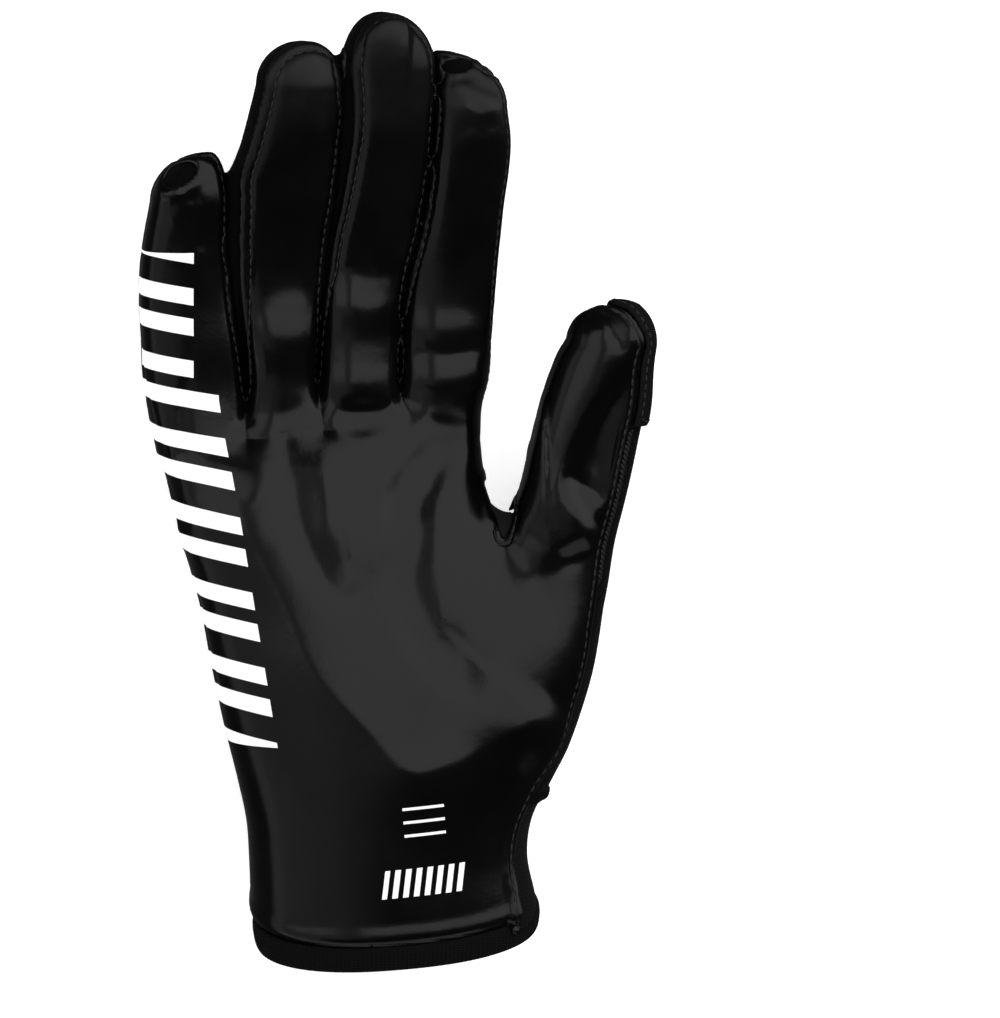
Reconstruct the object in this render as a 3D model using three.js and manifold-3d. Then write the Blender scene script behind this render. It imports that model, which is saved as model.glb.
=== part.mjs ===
// A right-hand football receiver glove, filled as on a hand and lying palm up on its back.
// Millimetres: +X points to the thumb, +Y to the fingertips, +Z out of the palm.
// Every wall is one layer: coated leather on the palm side, stretch knit on the back.

import * as THREE from 'three';
import { mergeVertices } from 'three/addons/utils/BufferGeometryUtils.js';
import Module from 'manifold-3d';

// Driving sizes
const WALL = 1.5;
const SEAM_GAP = 0.3;
const PALM_POWER = 2.3;
const FINGER_POWER = 2.6;
const FINGER_SIDES = 16;
const PALM_SIDES = 28;
const DOME_RINGS = 4;
const HEM_Y = -105.1;
const HEM_MID_HEIGHT = 20;
const HEM_SLOPE = 0.31;
const HEM_SKEW = 0.068;
const BINDING_WIDTH = 6.5;
const BINDING_PROUD = 0.8;
const GUARD_THICKNESS = 1;
const ROPE_RADIUS = 0.9;
const ROPE_SIDES = 4;
const FAR = 90;

// Outer sections of the hand: place of the centre, half width, half height and heading in degrees
// from +Y towards +X. Each table runs from inside the palm, or the wrist, to the last full section.
const PALM = [
  { x: -1.0, y: -128, w: 35.8, z: 21.0, h: 22.6, turn: 0 },
  { x: -0.6, y: -112, w: 36.2, z: 21.0, h: 22.4, turn: 0 },
  { x: -2.2, y: -92, w: 35.3, z: 20.4, h: 21.8, turn: 0 },
  { x: -1.9, y: -83, w: 36.2, z: 20.0, h: 21.5, turn: 0 },
  { x: -0.5, y: -73, w: 39.6, z: 19.6, h: 21.1, turn: 0 },
  { x: 0.5, y: -58, w: 44.1, z: 19.0, h: 20.4, turn: 0 },
  { x: 0.3, y: -42, w: 46.8, z: 18.2, h: 19.5, turn: 0 },
  { x: -2.0, y: -28, w: 46.9, z: 17.2, h: 18.4, turn: 0 },
  { x: -8.2, y: -16, w: 43.8, z: 16.2, h: 17.2, turn: 0 },
  { x: -15.9, y: -3, w: 39.3, z: 14.8, h: 15.6, turn: 0 },
  { x: -18.3, y: 7, w: 38.0, z: 13.4, h: 13.9, turn: 0 },
  { x: -19.2, y: 12, w: 38.8, z: 12.2, h: 12.0, turn: -4 },
  { x: -19.6, y: 16, w: 38.0, z: 11.2, h: 9.4, turn: -6 },
];
const LITTLE = [
  { x: -43.0, y: -8, w: 9.0, z: 12.0, h: 11.0, turn: 0 },
  { x: -46.3, y: 5, w: 10.6, z: 11.6, h: 10.8, turn: 0 },
  { x: -48.6, y: 14, w: 11.6, z: 11.1, h: 10.4, turn: 0 },
  { x: -50.1, y: 26, w: 12.2, z: 11.2, h: 9.8, turn: 0 },
  { x: -51.1, y: 37, w: 12.1, z: 12.3, h: 9.3, turn: 0 },
  { x: -52.1, y: 47, w: 11.7, z: 13.6, h: 9.0, turn: 0 },
  { x: -52.7, y: 55, w: 11.1, z: 14.9, h: 8.7, turn: 0 },
  { x: -52.6, y: 63, w: 10.4, z: 16.2, h: 8.4, turn: 0 },
  { x: -52.0, y: 73, w: 9.4, z: 18.2, h: 7.8, turn: 0 },
];
const RING = [
  { x: -28.5, y: -5, w: 10.0, z: 12.0, h: 11.0, turn: 0 },
  { x: -28.6, y: 14, w: 10.2, z: 11.0, h: 10.4, turn: 0 },
  { x: -28.2, y: 22, w: 9.7, z: 11.0, h: 9.9, turn: 0 },
  { x: -28.6, y: 27, w: 8.7, z: 11.3, h: 9.7, turn: 0 },
  { x: -29.0, y: 38, w: 9.5, z: 12.4, h: 9.2, turn: 0 },
  { x: -29.4, y: 47, w: 10.5, z: 13.6, h: 9.0, turn: 0 },
  { x: -29.3, y: 63, w: 12.3, z: 16.2, h: 8.8, turn: 0 },
  { x: -28.6, y: 73, w: 13.1, z: 18.1, h: 8.6, turn: 0 },
  { x: -27.0, y: 88, w: 12.6, z: 21.0, h: 8.3, turn: 0 },
  { x: -25.7, y: 98, w: 11.5, z: 23.2, h: 8.0, turn: 0 },
  { x: -25.2, y: 103, w: 10.9, z: 24.3, h: 7.9, turn: 0 },
];
const MIDDLE = [
  { x: -8.6, y: -5, w: 10.0, z: 12.0, h: 11.0, turn: 0 },
  { x: -9.0, y: 14, w: 10.8, z: 11.0, h: 10.4, turn: 0 },
  { x: -9.2, y: 22, w: 11.0, z: 11.0, h: 10.0, turn: 0 },
  { x: -9.2, y: 27, w: 10.1, z: 11.3, h: 9.8, turn: 0 },
  { x: -8.9, y: 38, w: 9.9, z: 12.5, h: 9.4, turn: 0 },
  { x: -8.4, y: 47, w: 9.8, z: 13.8, h: 9.2, turn: 0 },
  { x: -5.8, y: 63, w: 10.6, z: 16.4, h: 9.0, turn: 0 },
  { x: -4.2, y: 73, w: 10.7, z: 18.2, h: 8.8, turn: 0 },
  { x: -2.9, y: 88, w: 10.9, z: 21.2, h: 8.5, turn: 0 },
  { x: -2.7, y: 98, w: 11.0, z: 23.4, h: 8.3, turn: 0 },
  { x: -3.3, y: 107, w: 11.6, z: 25.4, h: 8.1, turn: 0 },
];
const INDEX = [
  { x: 9.0, y: -5, w: 10.4, z: 12.0, h: 11.0, turn: 0 },
  { x: 10.2, y: 14, w: 10.4, z: 11.0, h: 10.4, turn: 0 },
  { x: 11.3, y: 22, w: 11.0, z: 11.0, h: 10.0, turn: 0 },
  { x: 12.4, y: 27, w: 11.0, z: 11.3, h: 9.8, turn: 0 },
  { x: 12.9, y: 38, w: 11.3, z: 12.3, h: 9.3, turn: 0 },
  { x: 13.5, y: 47, w: 11.4, z: 13.4, h: 9.1, turn: 0 },
  { x: 15.8, y: 63, w: 10.4, z: 15.7, h: 8.7, turn: 0 },
  { x: 17.1, y: 73, w: 10.0, z: 17.2, h: 8.5, turn: 0 },
  { x: 18.4, y: 88, w: 10.0, z: 19.8, h: 8.2, turn: 0 },
  { x: 18.0, y: 97, w: 9.3, z: 21.3, h: 7.9, turn: 0 },
];
const THUMB = [
  { x: 28.0, y: -56, w: 14.0, z: 20.2, h: 17.0, turn: 30 },
  { x: 34.2, y: -38, w: 15.4, z: 20.0, h: 16.4, turn: 24 },
  { x: 38.8, y: -22, w: 14.4, z: 20.8, h: 14.2, turn: 17 },
  { x: 41.9, y: -10, w: 13.0, z: 22.3, h: 12.5, turn: 12 },
  { x: 44.4, y: -1.6, w: 12.4, z: 24.0, h: 11.6, turn: 10 },
  { x: 46.0, y: 6, w: 12.5, z: 24.9, h: 11.1, turn: 9 },
  { x: 47.4, y: 14, w: 12.6, z: 25.9, h: 10.7, turn: 9 },
  { x: 49.4, y: 24, w: 12.3, z: 27.3, h: 10.2, turn: 9 },
  { x: 51.1, y: 34, w: 11.0, z: 28.8, h: 9.6, turn: 6 },
  { x: 52.4, y: 38, w: 10.2, z: 29.4, h: 9.3, turn: 4 },
];

// Rounded ends: how far each tip runs past its last section, and how it drifts on the way.
const TIPS = {
  little: { length: 12.5, aside: 5.2, up: 1.5 },
  ring: { length: 11.3, aside: 0.9, up: 1.5 },
  middle: { length: 14.4, aside: -2.2, up: 1.8 },
  index: { length: 13.5, aside: -8.8, up: 1.2 },
  thumb: { length: 9.8, aside: 1.6, up: 1.0 },
};

// Height of the leather's edge along the two sides of the hand.
const ULNAR_EDGE = [
  { y: -130, z: 9 },
  { y: -60, z: 8 },
  { y: 0, z: 6.5 },
  { y: 24, z: 6.5 },
  { y: 52, z: 9.5 },
  { y: 73, z: 13.5 },
  { y: 95, z: 16 },
];
const RADIAL_EDGE = [
  { y: -130, z: 35 },
  { y: -105, z: 34.8 },
  { y: -91, z: 33.6 },
  { y: -78, z: 32.4 },
  { y: -56, z: 32 },
  { y: -40, z: 32 },
  { y: -30, z: 32.5 },
  { y: -10, z: 33 },
  { y: 0, z: 33.8 },
  { y: 14, z: 34.9 },
  { y: 24, z: 35.8 },
  { y: 34, z: 36.8 },
  { y: 60, z: 37 },
];
const RADIAL_INSET = [{ y: -60, x: 8 }, { y: -30, x: 3.5 }];

const HANDS = { little: LITTLE, ring: RING, middle: MIDDLE, index: INDEX, thumb: THUMB };

// The leather's edge on each side of each finger, as a rise above the finger's own centre.
const SEAM_LINES = [
  { finger: 'little', side: 1, rises: [{ y: 20, rise: 1 }] },
  { finger: 'ring', side: -1, rises: [{ y: 20, rise: 1.5 }, { y: 60, rise: 6 }] },
  { finger: 'ring', side: 1, rises: [{ y: 20, rise: 0 }, { y: 60, rise: 1.5 }] },
  {
    finger: 'middle',
    side: -1,
    rises: [{ y: 20, rise: 0 }, { y: 60, rise: 2 }, { y: 90, rise: 5 }, { y: 101, rise: 1 }],
  },
  { finger: 'middle', side: 1, rises: [{ y: 20, rise: 0 }, { y: 60, rise: 1 }] },
  { finger: 'index', side: -1, rises: [{ y: 20, rise: 0 }] },
  { finger: 'index', side: 1, rises: [{ y: 16, rise: -4 }, { y: 36, rise: 3 }, { y: 60, rise: 4 }] },
  { finger: 'thumb', side: -1, rises: [{ y: 0, rise: -5 }] },
];
const SEAM_ROWS = [
  -130, -112, -96, -80, -64, -50, -38, -26, -14, -6, 2, 10, 18, 26, 34, 42, 52, 62, 72, 82, 92, 102, 112, 130,
];
const LEAST_STEP = 0.5;

// Folds, pads and hollows of the filled palm side. Each runs along a path in plan, reaches so far to
// either side of it, and stands so high, or sinks where its height is below zero.
const FOLDS = [
  { name: 'thumb crease', height: -2, reach: 8, path: [[11, 18], [0, 1], [-1.5, -15], [6, -36], [17, -46]] },
  { name: 'ring finger crease', height: -1.2, reach: 7, path: [[-29, 5], [-26, -9], [-16, -24], [-10, -23]] },
  {
    name: 'outer palm ridge',
    height: 1.9,
    reach: 14,
    path: [[-44, 3], [-31, -25], [-23, -43], [-9, -58], [7, -68]],
  },
  { name: 'inner palm ridge', height: 1.9, reach: 14, path: [[7, -68], [31, -56], [37, -49]] },
  { name: 'ball of the thumb', height: 1.6, reach: 18, path: [[22, -16], [22, 2]] },
  { name: 'hollow beside the thumb', height: -1.4, reach: 16, path: [[40, -22], [36, 14]] },
  { name: 'pad under the little finger', height: 1.1, reach: 13, path: [[-39, 2], [-39, 6]] },
  { name: 'thumb ridge', height: 2.3, reach: 8, path: [[54, 42], [50, 31], [42, 19], [38, 8], [38, 0]] },
  { name: 'bend of the ring finger', height: -3, reach: 17, path: [[-29, 56], [-29, 60]] },
  { name: 'bend of the middle finger', height: -3, reach: 17, path: [[-7, 56], [-6, 60]] },
  { name: 'bend of the index finger', height: -2.4, reach: 17, path: [[14, 54], [15, 60]] },
  { name: 'bend of the little finger', height: -1.2, reach: 14, path: [[-52, 54], [-53, 60]] },
];

// The palm side sinks so far toward the wrist, from this end of the palm and over this length
const WRIST_SAG = 3;
const WRIST_SAG_END = -69;
const WRIST_SAG_RUN = 56;

// The fabric wedge in the crotch of the thumb, and the room that it leaves in the leather
const WEDGE = [[23.2, -2], [30.5, -2], [28.5, -7], [25.8, -12.5]];
const WEDGE_ROOM = [[22.7, -1.6], [31.0, -1.6], [28.9, -7], [25.8, -13.3]];
const WEDGE_BOTTOM = 14;

// The elastic strip in the thumb side of the wrist
const STRIP_LOW = new THREE.Vector3(24, -112, 15);
const STRIP_HIGH = new THREE.Vector3(60, -77.5, FAR);

// The guard's reach over the outer side of the thumb's tip
const GUARD_OUTLINE = [[53, 19], [FAR, 19], [FAR, 60], [53, 60]];

// Where the overlock seam runs, from the guard's end down to the thumb's base
const ROPE_ROWS = [17.5, 10, 2, -6, -14, -20];
const ROPE_STEPS = 14;

const wasm = await Module();
wasm.setup();

/** The columns of a table of sections or edges at any y, held beyond its ends. */
function at(table, y) {
  if (y <= table[0].y) return table[0];
  for (let i = 1; i < table.length; i += 1) {
    const [low, high] = [table[i - 1], table[i]];
    if (y <= high.y) {
      const share = (y - low.y) / (high.y - low.y);
      const row = {};
      for (const key of Object.keys(low)) row[key] = low[key] + (high[key] - low[key]) * share;
      return row;
    }
  }
  return table[table.length - 1];
}

/** A signed power, which turns a circle's sine and cosine into a superellipse's. */
function signedPower(value, power) {
  return Math.sign(value) * Math.abs(value) ** (2 / power);
}

/** How far a place in plan is from the nearest point of a path. */
function awayFrom(path, x, y) {
  let nearest = Infinity;
  for (let i = 1; i < path.length; i += 1) {
    const [ax, ay] = path[i - 1];
    const [dx, dy] = [path[i][0] - ax, path[i][1] - ay];
    const share = THREE.MathUtils.clamp(((x - ax) * dx + (y - ay) * dy) / (dx * dx + dy * dy), 0, 1);
    nearest = Math.min(nearest, Math.hypot(x - ax - share * dx, y - ay - share * dy));
  }
  return nearest;
}

/** How far the folds raise the palm side at a place in plan, less the wrist's sag. */
function lift(x, y) {
  let height = -WRIST_SAG * THREE.MathUtils.clamp((WRIST_SAG_END - y) / WRIST_SAG_RUN, 0, 1);
  for (const fold of FOLDS) {
    const share = awayFrom(fold.path, x, y) / fold.reach;
    if (share < 1) height += fold.height * (1 - share * share) ** 2;
  }
  return height;
}

/** The points round one section, grown outwards, with its folds, and never lower than the floor. */
function ring(row, grow, floor, sides, power) {
  const heading = THREE.MathUtils.degToRad(row.turn);
  const points = [];
  for (let i = 0; i < sides; i += 1) {
    const angle = (2 * Math.PI * i) / sides;
    const across = (row.w + grow) * signedPower(Math.cos(angle), power);
    const up = (row.h + grow) * signedPower(Math.sin(angle), power);
    const x = row.x + across * Math.cos(heading);
    const y = row.y - across * Math.sin(heading);
    const palmSide = Math.max(signedPower(Math.sin(angle), power), 0);
    points.push(new THREE.Vector3(x, y, Math.max(row.z + up + lift(x, y) * palmSide, floor)));
  }
  return points;
}

/** Sections that shrink round a fingertip, from its last full section. */
function dome(last, tip, grow) {
  const heading = THREE.MathUtils.degToRad(last.turn);
  const rows = [];
  for (let i = 1; i < DOME_RINGS; i += 1) {
    const angle = (Math.PI / 2) * (i / DOME_RINGS);
    const ahead = (tip.length + grow) * Math.sin(angle);
    const drift = 1 - Math.cos(angle);
    rows.push({
      x: last.x + ahead * Math.sin(heading) + tip.aside * drift,
      y: last.y + ahead * Math.cos(heading),
      z: last.z + tip.up * drift,
      w: (last.w + grow) * Math.cos(angle),
      h: (last.h + grow) * Math.cos(angle),
      turn: last.turn,
    });
  }
  return rows;
}

/** A closed geometry from rings of points, each end closed by a fan round its own centre. */
function skin(rings, startPoint, endPoint) {
  const points = [startPoint, ...rings.flat(), endPoint];
  const sides = rings[0].length;
  const lastIndex = points.length - 1;
  const index = [];
  const place = (level, i) => 1 + level * sides + (i % sides);
  for (let i = 0; i < sides; i += 1) {
    index.push(0, place(0, i), place(0, i + 1));
    index.push(lastIndex, place(rings.length - 1, i + 1), place(rings.length - 1, i));
    for (let level = 0; level < rings.length - 1; level += 1) {
      index.push(place(level, i), place(level + 1, i + 1), place(level, i + 1));
      index.push(place(level, i), place(level + 1, i), place(level + 1, i + 1));
    }
  }
  const geometry = new THREE.BufferGeometry();
  const position = points.flatMap((p) => p.toArray());
  geometry.setAttribute('position', new THREE.Float32BufferAttribute(position, 3));
  geometry.setIndex(index);
  return geometry;
}

/** The palm and wrist as one closed loft. */
function palmLoft(grow, floor) {
  const rings = PALM.map((row) => ring(row, grow, floor, PALM_SIDES, PALM_POWER));
  const [first, last] = [PALM[0], PALM[PALM.length - 1]];
  return skin(rings, new THREE.Vector3(first.x, first.y, first.z), new THREE.Vector3(last.x, last.y, last.z));
}

/** One finger or the thumb as a closed loft with a rounded tip. */
function fingerLoft(name, grow, floor) {
  const table = HANDS[name];
  const tip = TIPS[name];
  const last = table[table.length - 1];
  const heading = THREE.MathUtils.degToRad(last.turn);
  const rings = table.map((row) => ring(row, grow, floor, FINGER_SIDES, FINGER_POWER));
  for (const row of dome(last, tip, grow)) rings.push(ring(row, 0, floor, FINGER_SIDES, FINGER_POWER));
  const reach = tip.length + grow;
  const end = new THREE.Vector3(
    last.x + reach * Math.sin(heading) + tip.aside,
    last.y + reach * Math.cos(heading),
    last.z + tip.up,
  );
  return skin(rings, new THREE.Vector3(table[0].x, table[0].y, table[0].z), end);
}

/** A closed geometry as a solid that can be joined and cut. */
function solid(geometry) {
  const bare = geometry.clone();
  bare.deleteAttribute('normal');
  bare.deleteAttribute('uv');
  const merged = mergeVertices(bare);
  const vertProperties = new Float32Array(merged.attributes.position.array);
  const triVerts = new Uint32Array(merged.index.array);
  return new wasm.Manifold(new wasm.Mesh({ numProp: 3, vertProperties, triVerts }));
}

/** The whole hand's shape, grown or shrunk, as one solid. */
function handSolid(grow, floor) {
  let whole = solid(palmLoft(grow, floor));
  for (const name of Object.keys(HANDS)) whole = whole.add(solid(fingerLoft(name, grow, floor)));
  return whole;
}

/** The sheet along which leather meets knit: rows of points from the little-finger side to the thumb. */
function seamSheet() {
  return SEAM_ROWS.map((y) => {
    const palm = at(PALM, y);
    const onPalm = y < LITTLE[0].y;
    const ulnar = at(ULNAR_EDGE, y).z;
    const radial = at(RADIAL_EDGE, y).z;
    const little = at(LITTLE, y);
    const thumb = at(THUMB, y);
    const left = onPalm ? palm.x - palm.w : Math.min(little.x - little.w, palm.x - palm.w);
    const outer = y < THUMB[1].y ? palm.x + palm.w : thumb.x + thumb.w;
    const right = outer - at(RADIAL_INSET, y).x;
    const points = [new THREE.Vector3(-FAR, y, ulnar), new THREE.Vector3(left, y, ulnar)];
    for (const line of SEAM_LINES) {
      const row = at(HANDS[line.finger], y);
      const x = Math.max(row.x + line.side * row.w, points[points.length - 1].x + LEAST_STEP);
      points.push(new THREE.Vector3(Math.min(x, right - LEAST_STEP), y, row.z + at(line.rises, y).rise));
    }
    points.push(new THREE.Vector3(right, y, radial), new THREE.Vector3(FAR, y, radial));
    return points;
  });
}

/** All the space above (side 1) or below (side -1) the seam sheet, less half the seam's gap. */
function seamBlock(side) {
  const sheet = seamSheet();
  const across = sheet[0].length;
  const count = sheet.length * across;
  const near = sheet.flat().map((p) => [p.x, p.y, p.z + (side * SEAM_GAP) / 2]);
  const far = sheet.flat().map((p) => [p.x, p.y, side * FAR]);
  const index = [];
  const face = (a, b, c, d) => (side > 0 ? index.push(a, b, c, a, c, d) : index.push(a, c, b, a, d, c));
  for (let r = 0; r < sheet.length - 1; r += 1) {
    for (let c = 0; c < across - 1; c += 1) {
      const a = r * across + c;
      const [b, d, e] = [a + 1, a + across, a + across + 1];
      face(a, d, e, b);
      face(count + a, count + b, count + e, count + d);
    }
    const [left, right] = [r * across, r * across + across - 1];
    face(left, count + left, count + left + across, left + across);
    face(right, right + across, count + right + across, count + right);
  }
  for (let c = 0; c < across - 1; c += 1) {
    const last = (sheet.length - 1) * across + c;
    face(c, c + 1, count + c + 1, count + c);
    face(last, count + last, count + last + 1, last + 1);
  }
  const geometry = new THREE.BufferGeometry();
  geometry.setAttribute('position', new THREE.Float32BufferAttribute([...near, ...far].flat(), 3));
  geometry.setIndex(index);
  return solid(geometry);
}

/** A block with its faces at the given limits. */
function block(low, high) {
  const size = new THREE.Vector3().subVectors(high, low);
  const geometry = new THREE.BoxGeometry(size.x, size.y, size.z);
  geometry.translate((low.x + high.x) / 2, (low.y + high.y) / 2, (low.z + high.z) / 2);
  return solid(geometry);
}

/** An upright prism over an outline in the plane of the table. */
function prism(outline, low, high) {
  const shape = new THREE.Shape(outline.map(([x, y]) => new THREE.Vector2(x, y)));
  const geometry = new THREE.ExtrudeGeometry(shape, { depth: high - low, bevelEnabled: false });
  geometry.translate(0, 0, low);
  return solid(geometry);
}

/** The slab of space between two distances along the hand, leaning with the hem. */
function hemSlab(fromY, toY) {
  const geometry = new THREE.BoxGeometry(2 * FAR, toY - fromY, 2 * FAR);
  geometry.translate(0, (fromY + toY) / 2, 0);
  const lean = new THREE.Matrix4();
  lean.set(1, 0, 0, 0, HEM_SKEW, 1, -HEM_SLOPE, HEM_SLOPE * HEM_MID_HEIGHT, 0, 0, 1, 0, 0, 0, 0, 1);
  geometry.applyMatrix4(lean);
  return solid(geometry);
}

/** A solid as a named mesh. */
function piece(name, body, material) {
  const { vertProperties, triVerts } = body.getMesh();
  const geometry = new THREE.BufferGeometry();
  geometry.setAttribute('position', new THREE.Float32BufferAttribute(vertProperties, 3));
  geometry.setIndex(Array.from(triVerts));
  geometry.computeVertexNormals();
  const mesh = new THREE.Mesh(geometry, material);
  mesh.name = name;
  return mesh;
}

/** A point on the thumb's outer side at the height of the leather's edge, stood off its surface. */
function besideThumb(y, off) {
  const row = at(THUMB, y);
  const rise = (at(RADIAL_EDGE, y).z - row.z) / (row.h + off);
  const reach = (row.w + off) * (1 - Math.abs(rise) ** FINGER_POWER) ** (1 / FINGER_POWER);
  const heading = THREE.MathUtils.degToRad(row.turn);
  const [x, back] = [row.x + reach * Math.cos(heading), row.y - reach * Math.sin(heading)];
  return new THREE.Vector3(x, back, at(RADIAL_EDGE, y).z);
}

/** The overlock seam, a rope laid on the thumb's outer side. */
function rope() {
  const path = new THREE.CatmullRomCurve3(ROPE_ROWS.map((y) => besideThumb(y, ROPE_RADIUS + SEAM_GAP)));
  const section = new THREE.Shape();
  section.absarc(0, 0, ROPE_RADIUS, 0, 2 * Math.PI);
  const options = { steps: ROPE_STEPS, extrudePath: path, curveSegments: ROPE_SIDES };
  return new THREE.ExtrudeGeometry(section, options);
}

const leather = new THREE.MeshStandardMaterial({ color: 0x191919, roughness: 0.38, metalness: 0 });
const knit = new THREE.MeshStandardMaterial({ color: 0x0b0b0b, roughness: 0.9, metalness: 0 });
const elastic = new THREE.MeshStandardMaterial({ color: 0x0e0e0e, roughness: 0.8, metalness: 0 });
const thread = new THREE.MeshStandardMaterial({ color: 0x202020, roughness: 0.6, metalness: 0 });

// The hollow wall of the hand, cut off at the hem
const outside = handSolid(0, 0);
const hollow = handSolid(-WALL, WALL);
const wall = outside.subtract(hollow).intersect(hemSlab(HEM_Y, 2 * FAR));

// Leather above the seam sheet, with the wedge in the crotch of the thumb let in
const wedge = prism(WEDGE, WEDGE_BOTTOM, FAR);
const wedgeRoom = prism(WEDGE_ROOM, WEDGE_BOTTOM - SEAM_GAP, FAR);
const leatherSide = wall.intersect(seamBlock(1));
const palmLeather = leatherSide.subtract(wedgeRoom);
const thumbGusset = leatherSide.intersect(wedge);

// Knit below it, with the elastic strip let into the wrist
const strip = block(STRIP_LOW, STRIP_HIGH);
const stripRoom = block(STRIP_LOW.clone().subScalar(SEAM_GAP), STRIP_HIGH.clone().addScalar(SEAM_GAP));
const knitSide = wall.intersect(seamBlock(-1));
const handBack = knitSide.subtract(stripRoom);
const wristGusset = knitSide.intersect(strip);

// The guard lies over the knit on the outer side of the thumb's tip
const guardOuter = solid(fingerLoft('thumb', SEAM_GAP + GUARD_THICKNESS, 0));
const guardInner = solid(fingerLoft('thumb', SEAM_GAP, 0));
const guardSide = seamBlock(-1).intersect(prism(GUARD_OUTLINE, 0, FAR));
const thumbGuard = guardOuter.subtract(guardInner).intersect(guardSide);

// The binding closes the hem with a thicker ring
const bindingOuter = solid(palmLoft(BINDING_PROUD, 0));
const bindingInner = solid(palmLoft(-WALL - BINDING_PROUD, WALL));
const bindingSlab = hemSlab(HEM_Y - SEAM_GAP - BINDING_WIDTH, HEM_Y - SEAM_GAP);
const cuffBinding = bindingOuter.subtract(bindingInner).intersect(bindingSlab);

const hand = new THREE.Group();
hand.add(piece('palm_leather', palmLeather, leather));
hand.add(piece('hand_back', handBack, knit));
hand.add(piece('thumb_gusset', thumbGusset, knit));
hand.add(piece('thumb_guard', thumbGuard, knit));
hand.add(piece('thumb_seam', solid(rope()), thread));
hand.add(piece('wrist_gusset', wristGusset, elastic));
hand.add(piece('cuff_binding', cuffBinding, elastic));

// The origin is below the middle of the whole glove
const extent = new THREE.Box3().setFromObject(hand);
hand.position.set(-(extent.min.x + extent.max.x) / 2, -(extent.min.y + extent.max.y) / 2, -extent.min.z);

const glove = new THREE.Group();
glove.add(hand);

export default glove;
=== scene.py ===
"""A right-hand football receiver glove, filled as on a hand and lying palm up on a pale floor.

The glove's form comes from one table of cross-sections for each part of the hand. The sections are
blended into one skin, which is cut along the seams into panels, and each panel gets its own thickness,
edge, stitching, folds and finish. Lengths are in millimetres until a mesh is made in metres.
"""

import logging
import math
from dataclasses import dataclass, field
from enum import Enum
from typing import Callable, Iterable, Sequence

import bpy
import numpy as np
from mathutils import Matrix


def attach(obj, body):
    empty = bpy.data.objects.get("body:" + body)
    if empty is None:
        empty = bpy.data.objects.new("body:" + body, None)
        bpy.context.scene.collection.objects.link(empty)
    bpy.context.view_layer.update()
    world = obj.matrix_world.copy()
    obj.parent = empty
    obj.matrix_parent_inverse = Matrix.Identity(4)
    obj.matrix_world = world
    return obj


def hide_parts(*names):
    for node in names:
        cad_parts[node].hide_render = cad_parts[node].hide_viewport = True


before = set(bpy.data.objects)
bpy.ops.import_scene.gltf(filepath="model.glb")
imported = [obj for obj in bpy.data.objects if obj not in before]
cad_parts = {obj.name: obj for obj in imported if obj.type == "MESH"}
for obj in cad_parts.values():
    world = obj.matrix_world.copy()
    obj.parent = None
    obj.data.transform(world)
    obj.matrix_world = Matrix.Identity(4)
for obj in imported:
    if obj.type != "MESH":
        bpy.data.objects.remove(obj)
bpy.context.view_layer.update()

import openvdb
from mathutils import Matrix, Vector
from mathutils.kdtree import KDTree

LOG = logging.getLogger("glove")

MM = 0.001
BODY = "root"

# The hand's own axes stand this far from the frame's, in mm
HAND_SHIFT = np.array([-0.04, -1.04, 0.0])

HEM_Y = -105.1
HEM_MID_HEIGHT = 20.0
HEM_SLOPE = 0.31
HEM_SKEW = 0.068

# The photograph is seen from above, leaning a little aside and ahead; this height is its plan
VIEW_ASIDE = math.radians(7.0)
VIEW_AHEAD = math.radians(8.0)
VIEW_HEIGHT = 20.0

PALM_POWER = 2.3
FINGER_POWER = 2.6
FINE_STEP = 0.5
ARRAY = np.ndarray
PLACE = tuple[float, float, float]


def smoothstep(low: float, high: float, value: ARRAY) -> ARRAY:
    """Rise smoothly from 0 at low to 1 at high."""
    share = np.clip((value - low) / (high - low), 0.0, 1.0)
    return share * share * (3.0 - 2.0 * share)


def blend_min(one: ARRAY, other: ARRAY, width: float) -> ARRAY:
    """Join two distance fields with a fillet of about the given width."""
    share = np.maximum(width - np.abs(one - other), 0.0) / width
    return np.minimum(one, other) - share * share * width / 4.0


def hermite(places: ARRAY, values: ARRAY, at: ARRAY) -> ARRAY:
    """Values of a smooth curve through uneven places, without overshoot at its ends.

    Args:
        places: Rising places of the rows.
        values: One value for each place.
        at: Rising places where the curve is wanted.

    Returns:
        The curve's value at each of them.
    """
    secants = np.diff(values) / np.diff(places)
    slopes = np.empty_like(values)
    slopes[1:-1] = (secants[:-1] + secants[1:]) / 2.0
    slopes[0], slopes[-1] = secants[0], secants[-1]
    cell = np.clip(np.searchsorted(places, at, side="right") - 1, 0, len(places) - 2)
    span = places[cell + 1] - places[cell]
    t = (at - places[cell]) / span
    start = (2 * t**3 - 3 * t**2 + 1) * values[cell] + (t**3 - 2 * t**2 + t) * span * slopes[cell]
    end = (-2 * t**3 + 3 * t**2) * values[cell + 1] + (t**3 - t**2) * span * slopes[cell + 1]
    return start + end


@dataclass(frozen=True)
class Section:
    """One cross-section of a limb: its centre, half width, half height and heading in degrees."""

    x: float
    y: float
    w: float
    z: float
    h: float
    turn: float = 0.0


@dataclass(frozen=True)
class Tip:
    """A limb's rounded end: how far it runs on, and how it drifts aside and up on the way."""

    length: float
    aside: float
    up: float


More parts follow.
